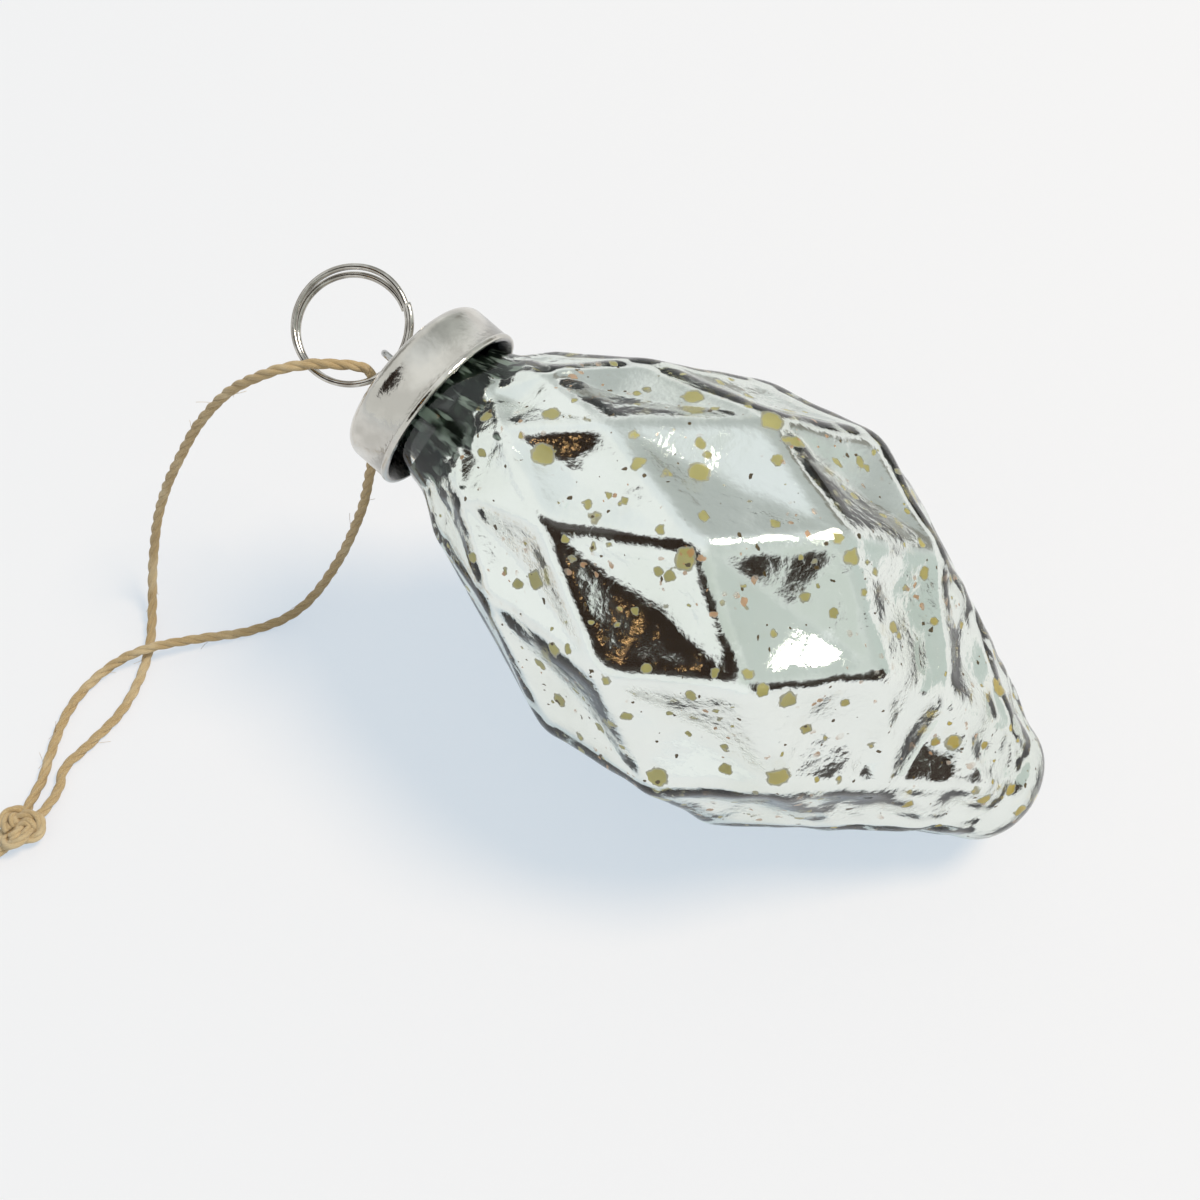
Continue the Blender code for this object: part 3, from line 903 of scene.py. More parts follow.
@dataclass
class SilveredDrop:
    """The blown glass drop: a clear shell with a diamond relief and a silver film inside it.

    Each wave form is a wave's length in mm and how many turns it makes round the drop.
    """

    row_axial: tuple[float, ...] = (
        -0.0010, 0.0030, 0.0124, 0.0276, 0.0410, 0.0535, 0.0645, 0.0760, 0.0812,
    )
    row_radius: tuple[float, ...] = (
        0.0107, 0.0145, 0.0203, 0.0274, 0.0292, 0.0256, 0.0186, 0.0123, 0.0088,
    )
    row_twist_deg: tuple[float, ...] = (0.0, 0.0, 0.0, 0.0, 0.0, 0.0, 12.0, 14.0, 14.0)
    row_sink: tuple[float, ...] = (0.0, 0.0010, 0.0015, 0.0018, 0.0018, 0.0015, 0.0010, 0.0004, 0.0)
    neck_axial: tuple[float, ...] = (-0.008407, -0.0050, -0.0025)
    neck_radius: tuple[float, ...] = (0.0089, 0.0092, 0.0100)
    neck_wall: float = 0.0015
    neck_rings: int = 21
    neck_flute: float = 0.014
    lip_rise: float = 0.3
    tip_end: float = 0.0873
    tip_rings: int = 16
    diamonds: int = 8
    wall: float = 0.0020
    hollow_wall: float = 0.95
    film_cover: float = 0.00015
    film_bared_rings: int = 2
    rib_share: float = 0.28
    rib_width: float = 0.105
    outer_passes: int = 16
    inner_passes: int = 12
    inner_step: int = 4
    ring_split: int = 16
    column_split: int = 16
    wave: float = 0.00012
    wave_forms: tuple[tuple[float, int], ...] = ((1.9, 3), (3.1, -5), (1.1, -7), (2.3, 4))
    wave_quick_share: float = 0.6
    wave_calm_share: float = 0.5
    wave_swell_mm: Pair = (30.0, 60.0)
    wave_neck_mm: Pair = (4.0, 14.0)
    wave_tip_mm: float = 14.0

    @property
    def columns(self) -> int:
        """Return how many points each ring has."""
        return 2 * self.diamonds * self.column_split

    def inset(self, skin: Skin) -> float:
        """Return how far a skin lies inside the outer one."""
        depth = {Skin.OUTER: 0.0, Skin.FILM: self.wall - self.film_cover, Skin.INNER: self.wall}
        return depth[skin]

    def softening(self, skin: Skin) -> int:
        """Return how many passes of softening a skin gets: the inside keeps the crisper creases."""
        return self.outer_passes if skin is Skin.OUTER else self.inner_passes

    def blown_waves(self, rings: Array) -> Array:
        """Work out how far each place moves out from the axis in the blown glass's own slow waves.

        The waves are two pairs of crossed sines of the angle and the distance along the axis. They
        fade to nothing at the neck and the tip and are stronger on the tip's half.

        Args:
            rings: places in the drop's axes.

        Returns:
            Moves along each place's own radius.
        """
        angle = np.arctan2(rings[..., 1], -rings[..., 0])
        along = -rings[..., 2] / MM
        one, two, three, four = (along / length + turns * angle for length, turns in self.wave_forms)
        waves = np.sin(one) * np.cos(two) + self.wave_quick_share * (np.sin(three) * np.sin(four))
        rise = np.interp(along, self.wave_neck_mm, (0.0, 1.0))
        fall = np.clip((self.tip_end / MM - along) / self.wave_tip_mm, 0.0, 1.0)
        size = self.wave * (self.wave_calm_share + np.interp(along, self.wave_swell_mm, (0.0, 1.0)))
        return (size * rise * fall * waves)[..., None] * unit(rings * ACROSS_UP)

    def hollows(self) -> Array:
        """Work out how deep the hollows lie: below the straight lines between the points round them.

        Returns:
            The hollows' radius on each row.
        """
        axial = np.array(self.row_axial)
        radius = np.array(self.row_radius)
        part = (axial[1:-1] - axial[:-2]) / (axial[2:] - axial[:-2])
        along = radius[:-2] + (radius[2:] - radius[:-2]) * part
        across = radius[1:-1] * math.cos(math.pi / self.diamonds)
        sunk = np.minimum(along, across) - np.array(self.row_sink[1:-1])
        return np.concatenate([radius[:1], sunk, radius[-1:]])

    def corner(self, row: Array, column: Array, skin: Skin) -> Array:
        """Place corners of the relief: raised points and hollows' bottoms in turn, like a chessboard.

        Args:
            row: each corner's row number.
            column: each corner's column number, counted from straight down.
            skin: the glass surface it belongs to.

        Returns:
            Places in the drop's axes.
        """
        inset = self.inset(skin)
        raised = (row + column) % 2 == 0
        points = np.array(self.row_radius) - inset
        hollows = self.hollows() - self.hollow_wall * inset
        radius = np.where(raised, points[row], hollows[row])
        angle = column * math.pi / self.diamonds + np.radians(self.row_twist_deg)[row]
        axial = np.array(self.row_axial)[row]
        return np.stack([-radius * np.cos(angle), radius * np.sin(angle), -axial], -1)

    def relief(self, skin: Skin) -> Array:
        """Work out the diamond relief as rings of points.

        Each square of four corners is two flat triangles that meet in the ridge between its two
        raised points, so a place is a corner plus its share of the triangle's two sides. The ridge
        becomes a rounded rib: at f, the distance from it with the hollow at one half, the place
        sinks by the rib's share of the depth times 1 - exp(-(f / width) squared) - 2 f.

        Args:
            skin: the glass surface to work out.

        Returns:
            Places in the drop's axes, ring by ring from the neck.
        """
        rows = len(self.row_axial) - 1
        p = np.arange(rows * self.ring_split)[:, None] / self.ring_split
        q = np.arange(self.columns)[None, :] / self.column_split
        p, q = np.broadcast_arrays(p, q)
        row = np.floor(p).astype(int)
        column = np.floor(q).astype(int)
        u = (p - row)[..., None]
        v = (q - column)[..., None]
        a = self.corner(row, column, skin)
        b = self.corner(row, column + 1, skin)
        c = self.corner(row + 1, column, skin)
        d = self.corner(row + 1, column + 1, skin)
        down_first = a + (c - a) * u + (d - c) * v
        round_first = a + (b - a) * v + (d - b) * u
        near = a + (c - a) * u + (b - a) * v
        far = d + (b - d) * (1 - u) + (c - d) * (1 - v)
        ridge_from_a = ((row + column) % 2 == 0)[..., None]
        flat = np.where(
            ridge_from_a, np.where(u >= v, down_first, round_first), np.where(u + v <= 1, near, far)
        )
        f = np.where(ridge_from_a, np.abs(u - v), np.abs(u + v - 1)) / 2
        sink = np.interp(p, np.arange(rows + 1), self.row_sink)[..., None]
        depth = sink * self.rib_share * (1 - np.exp(-((f / self.rib_width) ** 2)) - 2 * f)
        return flat - depth * unit(flat * ACROSS_UP)

    def ridged_faces(self, rings: int, first: int) -> Array:
        """Join a grid's points with triangles, each square of it split along the ridge it lies on.

        Args:
            rings: how many rings of points there are.
            first: the number of the relief's first ring.

        Returns:
            Three point numbers a triangle.
        """
        here, after = ring_numbers(rings, self.columns)
        below, beyond = here + self.columns, after + self.columns
        row = (np.arange(rings - 1)[:, None] - first) // self.ring_split
        column = np.arange(self.columns)[None, :] // self.column_split
        from_here = ((row + column) % 2 == 0)[..., None]
        one = np.where(from_here, np.stack([here, after, beyond], -1), np.stack([here, after, below], -1))
        two = np.where(from_here, np.stack([here, beyond, below], -1), np.stack([after, beyond, below], -1))
        return np.concatenate([one, two]).reshape(-1, 3)

    def turned_rings(self, axial: Array, radius: Array, twist: float) -> Array:
        """Turn plain round rings about the axis.

        Args:
            axial: each ring's distance along the axis.
            radius: each ring's radius.
            twist: the angle by which all of them are turned.

        Returns:
            Places in the drop's axes, ring by ring.
        """
        angle = np.arange(self.columns) * 2 * math.pi / self.columns + twist
        ring = np.stack([-np.cos(angle), np.sin(angle), np.zeros(self.columns)], -1)
        return radius[:, None, None] * ring - axial[:, None, None] * UP

    def neck(self, inset: float) -> Array:
        """Turn the neck from straight lines, with one shallow flute above each diamond.

        Args:
            inset: how far the skin lies inside the outer one on the relief.

        Returns:
            Places in the drop's axes, ring by ring from the lip.
        """
        steps = np.linspace(self.neck_axial[0], self.row_axial[0], self.neck_rings + 1)[:-1]
        known_axial = np.array(self.neck_axial + self.row_axial[:1])
        known_radius = np.array(self.neck_radius + self.row_radius[:1])
        reach = [self.neck_axial[-1], self.row_axial[0]]
        taper = np.interp(steps, reach, [min(inset, self.neck_wall), inset])
        rings = self.turned_rings(steps, np.interp(steps, known_axial, known_radius) - taper, 0.0)
        turn = np.arange(self.columns) * 2 * math.pi * self.diamonds / self.columns
        flute = 1 + self.neck_flute * np.cos(turn)
        return rings * np.stack([flute, flute, np.ones_like(flute)], -1)

    def tip(self, inset: float) -> Array:
        """Turn the tip as a quarter of an ellipse.

        Args:
            inset: how far the skin lies inside the outer one.

        Returns:
            Places in the drop's axes, ring by ring towards the tip.
        """
        turn = np.radians(90.0) * np.arange(self.tip_rings) / self.tip_rings
        radius = (self.row_radius[-1] - inset) * np.cos(turn)
        axial = self.row_axial[-1] + (self.tip_end - self.row_axial[-1] - inset) * np.sin(turn)
        return self.turned_rings(axial, radius, math.radians(self.row_twist_deg[-1]))

    def skin_rings(self, skin: Skin) -> Array:
        """Work out a whole skin from the lip to the last ring before the tip's end, softened.

        Each pass of softening moves every place half the way to the middle of its four neighbours.

        Args:
            skin: the glass surface to work out.

        Returns:
            Places in the drop's axes, ring by ring.
        """
        inset = self.inset(skin)
        rings = np.concatenate([self.neck(inset), self.relief(skin), self.tip(inset)])
        for _ in range(self.softening(skin)):
            still = rings[1:-1]
            beside = np.roll(still, 1, axis=1) + np.roll(still, -1, axis=1)
            middle = (rings[:-2] + rings[2:] + beside) / 4
            rings[1:-1] = (still + middle) / 2
        return rings + self.blown_waves(rings)

    def build_glass(self, axes: Axes) -> Piece:
        """Build the clear shell: outer skin, rounded lip and inner skin closed at both tips.

        Args:
            axes: the drop's axes.

        Returns:
            The glass.
        """
        outer = self.skin_rings(Skin.OUTER)
        inner = self.skin_rings(Skin.INNER)[:: self.inner_step]
        lip = (outer[:1] + inner[:1]) / 2 + self.lip_rise * self.neck_wall * UP
        rings = np.concatenate([inner[::-1], lip, outer])
        count = len(rings) * self.columns
        poles = np.array([-(self.tip_end - self.wall), -self.tip_end])[:, None] * UP
        places = np.vstack([rings.reshape(-1, 3), poles])
        faces = [
            self.ridged_faces(len(rings), len(inner) + 1 + self.neck_rings),
            fan_faces(0, self.columns, count, True),
            fan_faces(count - self.columns, self.columns, count + 1, False),
        ]
        glass = place_mesh("drop_glass", axes.to_frame(places), faces, Body.GLASS)
        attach(glass, Body.GLASS.value)
        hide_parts("glass_body")
        return glass

    def build_film(self, axes: Axes) -> Piece:
        """Build the silver film just outside the inner skin, with its distance along the axis in mm.

        Args:
            axes: the drop's axes.

        Returns:
            The film.
        """
        rings = self.skin_rings(Skin.FILM)[self.film_bared_rings :]
        count = len(rings) * self.columns
        pole = (self.inset(Skin.FILM) - self.tip_end) * UP
        places = np.vstack([rings.reshape(-1, 3), pole])
        faces = [
            self.ridged_faces(len(rings), self.neck_rings - self.film_bared_rings),
            fan_faces(count - self.columns, self.columns, count, False),
        ]
        film = place_mesh("silver_film", axes.to_frame(places), faces, Body.GLASS)
        mark_points(film, "along_axis", -places[:, 2] / MM)
        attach(film, Body.GLASS.value)
        return film


@dataclass
class NeckCap:
    """The stamped cap on the neck, turned about its own axis."""

    bore: float = 0.011227
    wall: float = 0.00055
    height: float = 0.0072
    fillet: float = 0.0020
    fillet_points: int = 10
    bead: float = 0.00018
    bead_height: float = 0.0008
    bead_points: int = 9
    hole: float = 0.00181
    hole_edge: float = 0.0004
    columns: int = 160

    def outline(self) -> Array:
        """Draw round the wall: out over the top, down the skirt with its bead, and up the inside.

        Returns:
            Radius and height of each point.
        """
        outer = self.bore + self.wall
        turn = np.radians(np.linspace(0.0, 90.0, self.fillet_points))
        shoulder = np.stack([np.sin(turn), np.cos(turn)], -1)
        centre = np.array((outer - self.fillet, -self.fillet))
        over = centre + self.fillet * shoulder
        under = centre + (self.fillet - self.wall) * shoulder[::-1]
        bulge = np.radians(np.linspace(0.0, 180.0, self.bead_points))
        low = -self.height + self.bead_height / 2
        bead = np.stack([outer + self.bead * np.sin(bulge), low + np.cos(bulge) * self.bead_height / 2], -1)
        top = [(self.hole, 0.0), (self.hole + self.hole_edge, 0.0)]
        return np.vstack([top, over, bead, [(self.bore, -self.height)], under, [(self.hole, -self.wall)]])

    def build(self, axes: Axes) -> Piece:
        """Build the cap: its outline carried round the axis and closed on itself.

        Args:
            axes: the cap's axes.

        Returns:
            The cap, with its inner side marked for painted shade.
        """
        outline = self.outline()
        rings = len(outline)
        angle = np.arange(self.columns) * 2 * math.pi / self.columns
        radius, height = outline[:, :1], outline[:, 1:] + np.zeros(self.columns)
        places = np.stack([radius * np.cos(angle), radius * np.sin(angle), height], -1)
        faces = grid_faces(rings + 1, self.columns) % (rings * self.columns)
        cap = place_mesh("neck_cap", axes.to_frame(places), [faces[:, ::-1]], Body.CAP)
        # The last rings are the inner side: the skirt's edge, the shoulder from below and the hole's edge.
        # They get painted shade.
        inside = np.arange(rings) >= rings - (self.fillet_points + 2)
        mark_points(cap, "inside", np.repeat(inside, self.columns))
        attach(cap, Body.CAP.value)
        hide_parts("cap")
        return cap


@dataclass
class WireHanger:
    """The spring wire with its eye above the cap and its legs inside the neck."""

    wire: float = 0.0009
    eye: float = 0.0020
    eye_points: int = 24
    rise: float = 0.0020
    open_deg: float = 50.0
    waist: float = 0.0007
    waist_drop: float = 0.0009
    leg_reach: float = 0.0020
    knee_axial: float = -0.0050
    knee_share: float = 0.72
    spread: float = 0.00665
    sides: int = 14

    def build(self, eye: Axes, drop: Axes) -> Piece:
        """Build the wire as one tube: leg, waist, eye, waist and leg.

        Args:
            eye: the eye's axes.
            drop: the drop's axes.

        Returns:
            The wire.
        """
        across = unit(eye.x - drop.z * np.dot(eye.x, drop.z))
        legs = []
        for side in (1.0, -1.0):
            tip = drop.origin + across * side * self.spread - drop.z * self.leg_reach
            knee = drop.origin + across * side * self.spread * self.knee_share - drop.z * self.knee_axial
            waist = eye.to_frame(np.array((side * self.waist, 0.0, -self.rise - self.waist_drop)))
            legs.append(np.stack([tip, knee, waist]))
        turn = np.radians(np.linspace(-self.open_deg, 180.0 + self.open_deg, self.eye_points))
        arc = self.eye * np.stack([np.cos(turn), np.zeros_like(turn), np.sin(turn)], -1)
        points = np.vstack([legs[0], eye.to_frame(arc), legs[1][::-1]])
        places, faces = tube(smooth_route(points), self.wire / 2, self.sides)
        hanger = place_mesh("eye_wire", places, faces, Body.HANGER)
        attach(hanger, Body.HANGER.value)
        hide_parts("hanger_wire")
        return hanger


@dataclass
class SplitRing:
    """The key ring: two closed turns of springy wire."""

    outer: float = 0.0160
    wire: float = 0.00084
    pitch: float = 0.00094
    nested: float = 0.0005
    aside: float = 0.0004
    turns: int = 2
    end_deg: float = 61.0
    over_from: float = 0.42
    over_length: float = 0.16
    sides: int = 14
    per_turn: int = 110

    def build(self, eye: Axes) -> Piece:
        """Build the ring as a tube on a helix whose first turn lies a little inside the second.

        Between the turns the wire goes over by 3 e squared - 2 e cubed, with e from 0 to 1.

        Args:
            eye: the eye's axes.

        Returns:
            The ring.
        """
        radius = self.outer / 2 - self.wire / 2
        part = np.linspace(0.0, 1.0, self.per_turn * self.turns + 1)
        sweep = 2 * math.pi * self.turns
        start = math.radians(self.end_deg)
        at_eye = (2 * math.pi * (np.arange(self.turns) + 1) - start) / sweep
        turn = start + sweep * part
        eased = np.clip((part - self.over_from) / self.over_length, 0.0, 1.0)
        inner = 1 - eased**2 * (3 - 2 * eased)
        reach = radius - self.nested * inner
        sideways = self.pitch * self.turns * (part - at_eye.mean())
        across = reach * np.sin(turn) - self.aside * inner
        route = np.stack([sideways, across, radius - reach * np.cos(turn)], -1)
        places, faces = tube(eye.to_frame(route), self.wire / 2, self.sides)
        ring = place_mesh("key_ring", places, faces, Body.RING)
        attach(ring, Body.RING.value)
        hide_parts("split_ring")
        return ring


@dataclass
class TwineLoop:
    """The hemp twine: a loop through the ring, its knot and its cut ends."""

    shift: Point = (-0.000904, 0.0, 0.0)
    diameter: float = 0.0014
    ply: float = 0.00040
    ply_offset: float = 0.00031
    ply_sides: int = 9
    ply_swell: float = 0.06
    ply_swell_length: float = 0.0031
    ply_swell_lag: float = 2.1
    plies: int = 3
    lay_length: float = 0.0072
    fibre: float = 0.00003
    fibres_per_place: float = 0.11
    fibres_least: int = 3
    fibre_points: int = 6
    fibre_sides: int = 3
    fibre_free: float = 0.020
    fibre_root: float = 0.00055
    fibre_lift: Pair = (0.15, 0.9)
    fibre_reach: Pair = (0.0008, 0.0022)
    fibre_bend: Pair = (-0.5, 0.5)
    fibre_lowest: float = 0.00002
    fibre_u: float = 0.5
    strand_up: tuple[Point, ...] = (
        (-0.0664, -0.0598, 0.0019), (-0.0659, -0.0576, 0.0015), (-0.0663, -0.0540, 0.0009),
        (-0.0676, -0.0508, 0.00075), (-0.0667, -0.0463, 0.00075), (-0.0657, -0.0405, 0.00075),
        (-0.0664, -0.0345, 0.00075), (-0.0682, -0.0294, 0.00075), (-0.0711, -0.0238, 0.0024),
        (-0.0722, -0.0196, 0.0080), (-0.0709, -0.0159, 0.0170), (-0.0674, -0.0135, 0.0260),
        (-0.0630, -0.0103, 0.0350), (-0.0579, -0.0080, 0.0420), (-0.0519, -0.0061, 0.0470),
    )
    ring_pass: tuple[Point, ...] = (
        (0.0019, -0.0074, 0.0080), (0.0017, -0.0053, 0.0057), (0.0004, -0.0036, 0.0037),
        (-0.0013, -0.0031, 0.0028), (-0.0024, -0.0034, 0.0010), (-0.0031, -0.0043, -0.0005),
        (-0.0038, -0.0056, -0.0011), (-0.0048, -0.0072, -0.0012), (-0.0059, -0.0088, -0.0012),
        (-0.0069, -0.0101, -0.0016), (-0.0086, -0.0112, -0.0030),
    )
    ring_turn: int = 3
    strand_down: tuple[Point, ...] = (
        (-0.0408, -0.0047, 0.0300), (-0.0427, -0.0058, 0.0220), (-0.0456, -0.0081, 0.0130),
        (-0.0491, -0.0118, 0.0050), (-0.0522, -0.0161, 0.0015), (-0.0564, -0.0206, 0.0008),
        (-0.0619, -0.0254, 0.0017), (-0.0669, -0.0302, 0.00275), (-0.0706, -0.0342, 0.0016),
        (-0.0726, -0.0394, 0.00075), (-0.0723, -0.0446, 0.00075), (-0.0706, -0.0504, 0.00075),
        (-0.0692, -0.0540, 0.0009), (-0.0683, -0.0576, 0.0015), (-0.0675, -0.0598, 0.0019),
    )
    tail_left: tuple[Point, ...] = (
        (-0.0678, -0.0620, 0.0018), (-0.0696, -0.0634, 0.0013), (-0.0738, -0.0668, 0.00078),
        (-0.0782, -0.0678, 0.00075),
    )
    tail_right: tuple[Point, ...] = (
        (-0.0668, -0.0626, 0.0018), (-0.0676, -0.0646, 0.0013), (-0.0697, -0.0692, 0.00078),
        (-0.0734, -0.0722, 0.00075),
    )
    knot_centre: Point = (-0.0669, -0.0612, 0.00225)
    knot_reach: float = 0.0023
    knot_half_pair: float = 0.0006
    knot_open: float = 0.2
    knot_points: int = 110
    knot_rise: float = 0.75
    up_way: Point = (0.458, 0.872, -0.171)
    up_reach: Pair = (-0.028916, -0.005233)
    down_way: Point = (0.618, 0.464, 0.634)
    down_reach: Pair = (-0.005724, -0.000753)

    def on_table(self, points: tuple[Point, ...]) -> Array:
        """Return table points moved from the low relief point to the frame's origin."""
        return np.array(points) + np.array(self.shift)

    def route(self, eye: Axes) -> Array:
        """Join the loop's centre line from the knot, through the ring and back.

        Args:
            eye: the eye's axes.

        Returns:
            Places along the loop.
        """
        up, down = self.on_table(self.strand_up), self.on_table(self.strand_down)
        return smooth_route(np.vstack([up, eye.to_frame(np.array(self.ring_pass)), down]))

    def knot_routes(self) -> list[Array]:
        """Draw an overhand knot in doubled twine: two lines side by side on a trefoil cut open.

        x is sin t + 2 sin 2t, y is cos t - 2 cos 2t and z is -sin 3t times the knot's rise, each
        scaled so that the trefoil's reach of 3 becomes the knot's own.

        Returns:
            The two lines' places.
        """
        t = np.linspace(self.knot_open, 2 * math.pi - self.knot_open, self.knot_points)
        x, y = np.sin(t) + 2 * np.sin(2 * t), np.cos(t) - 2 * np.cos(2 * t)
        line = np.stack([x, y, -self.knot_rise * np.sin(3 * t)], -1) * self.knot_reach / 3.0
        beside = unit(np.cross(np.gradient(line, axis=0), UP))
        centre = np.array(self.knot_centre) + np.array(self.shift)
        return [centre + line + side * self.knot_half_pair * beside for side in (1.0, -1.0)]

    def stray_fibres(
        self, middle: Array, first: Array, second: Array, free: Array
    ) -> tuple[Array, list[Array], Array]:
        """Strew loose fibres that stand off the twine: three-sided hairs on bent lines.

        A hair's line is its root plus its length times (t along its own way + bend t squared to one
        side), with t from 0 to 1, kept above the table.

        Args:
            middle: the twine's centre line.
            first: one direction across it at each place.
            second: the other direction across it at each place.
            free: the places where nothing is near enough for a hair to touch it.

        Returns:
            The hairs' points, their faces and the number of the place that each point grows from.
        """
        rng = np.random.default_rng(len(middle))
        count = max(self.fibres_least, round(len(free) * self.fibres_per_place))
        at = rng.choice(free, count)
        turn = rng.uniform(0.0, 2 * math.pi, count)[:, None]
        out = np.cos(turn) * first[at] + np.sin(turn) * second[at]
        aside = np.cos(turn) * second[at] - np.sin(turn) * first[at]
        along = np.cross(first[at], second[at]) * rng.choice((-1.0, 1.0), count)[:, None]
        way = unit(along + rng.uniform(*self.fibre_lift, count)[:, None] * out)
        reach = rng.uniform(*self.fibre_reach, count)[:, None, None]
        bend = rng.uniform(*self.fibre_bend, count)[:, None, None]
        t = np.linspace(0.0, 1.0, self.fibre_points)[None, :, None]
        root = (middle[at] + self.fibre_root * out)[:, None]
        line = root + reach * (t * way[:, None] + bend * t**2 * aside[:, None])
        angle = (np.arange(self.fibre_sides) * 2 * math.pi / self.fibre_sides)[None, None, :, None]
        level = unit(np.cross(way, aside))
        across = np.cos(angle) * level[:, None, None] + np.sin(angle) * aside[:, None, None]
        places = line[:, :, None] + self.fibre * across
        places[..., 2] = np.maximum(places[..., 2], self.fibre_lowest)
        points = self.fibre_points * self.fibre_sides
        hair = (points * np.arange(count))[:, None, None]
        sides = (grid_faces(self.fibre_points, self.fibre_sides)[None] + hair).reshape(-1, 4)
        corners = np.arange(self.fibre_sides)
        ends = np.stack([-corners % self.fibre_sides, points - self.fibre_sides + corners])
        ends = (ends[None] + hair).reshape(-1, self.fibre_sides)
        return places.reshape(-1, 3), [sides, ends], np.repeat(at, points)

    def twisted(self, route: Array, stretch: slice) -> tuple[Array, list[Array], Array]:
        """Twist the twine on one stretch of a route: plies that wind round it once each lay length.

        Args:
            route: the twine's whole centre line.
            stretch: the places of it to build.

        Returns:
            The twine's points, its faces, and the UV of each point: part of the way round its ply,
            and the distance along it in lay lengths.
        """
        first, second = (across[stretch] for across in carried_frames(route))
        walked, middle = walked_along(route)[stretch], route[stretch]
        lays = walked / self.lay_length
        all_places, all_faces, all_uv = [], [], []
        count = 0
        for k in range(self.plies):
            turn = (lays * 2 * math.pi + 2 * math.pi * k / self.plies)[:, None]
            swell = 1 + self.ply_swell * np.sin(walked / self.ply_swell_length + self.ply_swell_lag * k)
            centre = middle + self.ply_offset * (np.cos(turn) * first + np.sin(turn) * second)
            places, faces = tube(centre, self.ply * swell, self.ply_sides)
            around = k + np.arange(self.ply_sides) / self.ply_sides
            uv = np.stack(np.broadcast_arrays(around[None, :], lays[:, None]), -1).reshape(-1, 2)
            all_places.append(places)
            all_faces += [face + count for face in faces]
            all_uv += [uv, [(k, lays[0]), (k, lays[-1])]]
            count += len(places)
        free = np.flatnonzero(np.linalg.norm(middle - eye_axes().origin, axis=1) > self.fibre_free)
        places, faces, at = self.stray_fibres(middle, first, second, free)
        all_places.append(places)
        all_faces += [face + count for face in faces]
        all_uv.append(np.stack([np.full(len(at), self.fibre_u), lays[at]], -1))
        return np.vstack(all_places), all_faces, np.vstack(all_uv)

    def make(self, name: str, routes: list[Array], stretch: slice, node: str) -> Piece:
        """Make one piece of twine on each route, with its UV map, standing for its CAD node.

        Args:
            name: the piece's name.
            routes: the centre lines of its twine.
            stretch: the places of them to build.
            node: the CAD node it stands for.

        Returns:
            The piece.
        """
        built = [self.twisted(route, stretch) for route in routes]
        starts = np.concatenate([[0], np.cumsum([len(places) for places, _, _ in built])])
        faces = [face + start for (_, block, _), start in zip(built, starts) for face in block]
        piece = place_mesh(name, np.vstack([places for places, _, _ in built]), faces, Body.HANGER)
        uv = np.vstack([uv for _, _, uv in built])
        layer = piece.data.uv_layers.new(name="ply")
        corners = np.empty(len(piece.data.loops), np.int32)
        piece.data.loops.foreach_get("vertex_index", corners)
        layer.data.foreach_set("uv", uv[corners].astype(np.float32).ravel())
        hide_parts(node)
        return piece

    def build(self, eye: Axes, material: Material) -> None:
        """Build the knot, the cut ends and the loop's two strands, cut apart at the ring.

        Args:
            eye: the eye's axes.
            material: the twine's material.
        """
        whole = slice(None)
        knot = self.make("twine_knot", self.knot_routes(), whole, "cord_knot")
        dress(knot, material)
        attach(knot, Body.HANGER.value)
        ends = []
        for name, points in (("left", self.tail_left), ("right", self.tail_right)):
            route = smooth_route(self.on_table(points))
            end = self.make(f"twine_end_{name}", [route], whole, f"cord_tail_{name}")
            dress(end, material)
            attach(end, Body.HANGER.value)
            ends.append(end)
        route = self.route(eye)
        turn = eye.to_frame(np.array(self.ring_pass[self.ring_turn]))
        cut = int(np.argmin(np.linalg.norm(route - turn, axis=1)))
        for name, stretch, path, way, reach, carried in (
            ("up", slice(0, cut + 1), route[cut::-1], self.up_way, self.up_reach, [knot, *ends]),
            ("down", slice(cut, None), route[cut:], self.down_way, self.down_reach, []),
        ):
            strand = self.make(f"twine_strand_{name}", [route], stretch, "cord_loop")
            dress(strand, material)
            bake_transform(strand)


def stand(name: str, data: bpy.types.ID, place: Point, right: Array, up: Array) -> Piece:
    """Put a camera or a lamp in its place, looking against right cross up.

    Args:
        name: its name.
        data: its own data.
        place: where it stands.
        right: its direction to the right.
        up: its upward direction, square to the first.

    Returns:
        The new object.
    """
    stood = bpy.data.objects.new(name, data)
    bpy.context.scene.collection.objects.link(stood)
    matrix = np.eye(4)
    matrix[:3, :3] = np.stack([right, up, np.cross(right, up)], -1)
    matrix[:3, 3] = place
    stood.matrix_world = Matrix(matrix.tolist())
    return stood


@dataclass(frozen=True)
class Patch:
    """A soft round patch of the surround: its direction, where it ends and is full, and its colour."""

    way: Point
    outer_deg: float
    inner_deg: float
    colour: Colour

    def mask(self, graph: Graph) -> Socket:
        """Work out where the patch is.

        Args:
            graph: the world's graph.

        Returns:
            1 within the inner angle of the patch's direction and 0 beyond the outer one.
        """
        where = graph.node("ShaderNodeTexCoord").outputs["Generated"]
        facing = graph.vector("DOT_PRODUCT", where, tuple(unit(np.array(self.way))))
        end, full = (math.cos(math.radians(angle)) for angle in (self.outer_deg, self.inner_deg))
        return graph.between(facing, end, full)


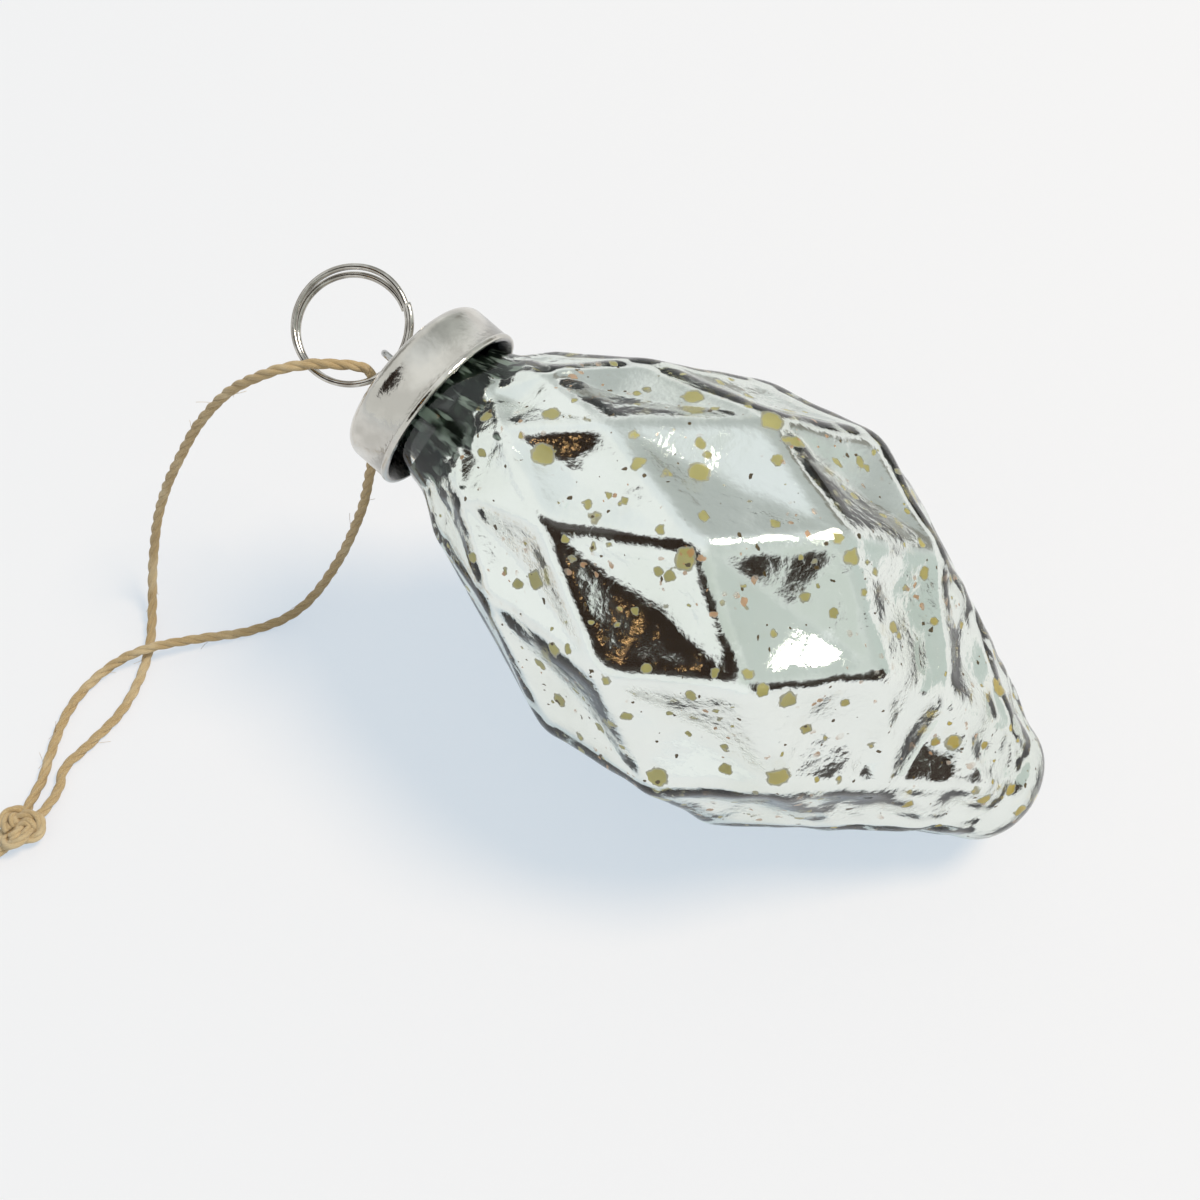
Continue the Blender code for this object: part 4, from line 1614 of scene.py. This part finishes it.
@dataclass
class Studio:
    """The white table, the soft light and the camera."""

    floor_half: float = 4.0
    floor_bounce: Colour = (0.88, 0.88, 0.88)
    floor_seen: Colour = (0.46, 0.36, 0.26)
    floor_glow: Colour = (0.829, 1.0, 1.171)
    floor_glow_strength: float = 0.554
    floor_roughness: float = 0.9
    floor_gloss: float = 0.1
    camera_place: Point = (0.04380, -0.10138, 0.20448)
    camera_right: Point = (0.8935, 0.4488, -0.0125)
    camera_up: Point = (-0.3790, 0.7687, 0.5152)
    camera_nearest: float = 0.01
    lens_mm: float = 48.0
    sensor_mm: float = 36.0
    lamp_place: Point = (0.92, 0.66, 1.92)
    lamp_aim: Point = (0.0, 0.0, 0.02)
    lamp_size: float = 0.75
    lamp_energy: float = 29.5
    lamp_colour: Colour = (1.0, 0.93, 0.84)
    fill_colour: Colour = (0.90, 0.97, 1.06)
    fill_strength: float = 0.5
    surround: Colour = (0.93, 0.95, 0.945)
    patches: tuple[Patch, ...] = (
        Patch((0.0, 0.3, 0.95), 42.0, 8.0, (0.83, 0.87, 0.89)),
        Patch((0.72, 0.2, 0.65), 46.0, 10.0, (0.60, 0.65, 0.62)),
        Patch((0.48, -0.57, 0.67), 26.0, 8.0, (0.66, 0.71, 0.67)),
        Patch((0.1, 0.85, 0.5), 48.0, 8.0, (0.50, 0.53, 0.52)),
        Patch((0.85, 0.45, 0.10), 34.0, 12.0, (0.60, 0.66, 0.63)),
        Patch((-0.95, 0.25, 0.15), 22.0, 8.0, (0.42, 0.42, 0.40)),
        Patch((0.15, 0.98, 0.12), 18.0, 7.0, (0.26, 0.25, 0.22)),
        Patch((-0.19, -0.66, 0.72), 26.0, 18.0, (0.03, 0.02, 0.015)),
        Patch((0.85, -0.48, 0.22), 20.0, 9.0, (0.035, 0.026, 0.02)),
        Patch((0.985, -0.11, 0.11), 17.0, 12.0, (0.05, 0.037, 0.03)),
        Patch((-0.11, -0.585, 0.80), 2.4, 1.0, (2.4, 1.4, 0.6)),
    )

    def build_camera(self) -> None:
        """Place the camera where the photograph was taken from."""
        data = bpy.data.cameras.new("photo_camera")
        data.sensor_width = self.sensor_mm
        data.lens = self.lens_mm
        data.clip_start = self.camera_nearest
        right = unit(np.array(self.camera_right))
        up = np.array(self.camera_up)
        up = unit(up - right * np.dot(up, right))
        bpy.context.scene.camera = stand("photo_camera", data, self.camera_place, right, up)

    def build_table(self) -> None:
        """Lay the white table top. As seen, part of its white is a glow, which lights nothing."""
        mesh = bpy.data.meshes.new("table_top")
        corners = self.floor_half * np.array(((-1, -1, 0), (1, -1, 0), (1, 1, 0), (-1, 1, 0)))
        mesh.from_pydata(corners.tolist(), [], [(0, 1, 2, 3)])
        table = bpy.data.objects.new("table_top", mesh)
        bpy.context.scene.collection.objects.link(table)
        material, graph, shader = new_material("pale_table")
        seen = seen_rays(graph)
        graph.fill(
            shader,
            {
                "Base Color": graph.blend(seen, self.floor_bounce, self.floor_seen),
                "Emission Color": (*self.floor_glow, 1.0),
                "Emission Strength": graph.sum("MULTIPLY", seen, self.floor_glow_strength),
                "Roughness": self.floor_roughness,
                "Specular IOR Level": self.floor_gloss,
            },
        )
        material.cycles.emission_sampling = "NONE"
        mesh.materials.append(material)

    def build_lamp(self) -> None:
        """Light the table from a large soft lamp behind on the right."""
        lamp = bpy.data.lights.new("soft_key", "AREA")
        lamp.shape = "DISK"
        lamp.size = self.lamp_size
        lamp.energy = self.lamp_energy
        lamp.color = self.lamp_colour
        aim = unit(np.array(self.lamp_aim) - np.array(self.lamp_place))
        side = unit(np.cross(aim, UP))
        stand("soft_key", lamp, self.lamp_place, side, np.cross(side, aim))

    def build_world(self) -> None:
        """Close the room with a pale fill and, as seen, a surround with soft patches."""
        world = bpy.data.worlds.new("studio")
        bpy.context.scene.world = world
        world.use_nodes = True
        graph = Graph(world.node_tree)
        seen = seen_rays(graph)
        surround = self.surround
        for patch in self.patches:
            surround = graph.blend(patch.mask(graph), surround, patch.colour)
        strength = graph.sum("MULTIPLY_ADD", seen, 1.0 - self.fill_strength, self.fill_strength)
        colour = graph.blend(seen, self.fill_colour, surround)
        graph.fill(world.node_tree.nodes["Background"], {"Color": colour, "Strength": strength})
        bpy.context.scene.view_settings.view_transform = "Standard"


NICKEL = HandledMetal(
    "satin_nickel", light=(0.72, 0.695, 0.64), dark=(0.53, 0.51, 0.465),
    roughness=0.18, spread=0.12, scale=190.0, grain=0.2,
)
DRAWN_WIRE = HandledMetal(
    "drawn_wire", light=(0.60, 0.60, 0.59), dark=(0.42, 0.42, 0.41),
    roughness=0.28, spread=0.15, scale=400.0, grain=0.15,
)
BRIGHT_STEEL = HandledMetal(
    "bright_steel", light=(0.60, 0.575, 0.53), dark=(0.36, 0.335, 0.30),
    roughness=0.09, spread=0.07, scale=420.0, grain=0.05,
)


def main() -> None:
    """Build the studio and every piece of the ornament in order."""
    logging.basicConfig(level=logging.INFO, format="%(name)s: %(message)s")
    studio = Studio()
    studio.build_camera()
    studio.build_table()
    studio.build_lamp()
    studio.build_world()
    drop, eye = drop_axes(), eye_axes()
    wear = HandledWear().group()
    TwineLoop().build(eye, HempTwine().material())
    glass = SilveredDrop()
    dress(glass.build_glass(drop), ClearGlass().material())
    dress(glass.build_film(drop), AgedSilver().material(ScatteredSpots().group(), drop.z))
    dress(NeckCap().build(cap_axes()), NICKEL.material(wear))
    dress(WireHanger().build(eye, drop), DRAWN_WIRE.material(wear))
    dress(SplitRing().build(eye), BRIGHT_STEEL.material(wear))


if __name__ == "__main__":
    main()
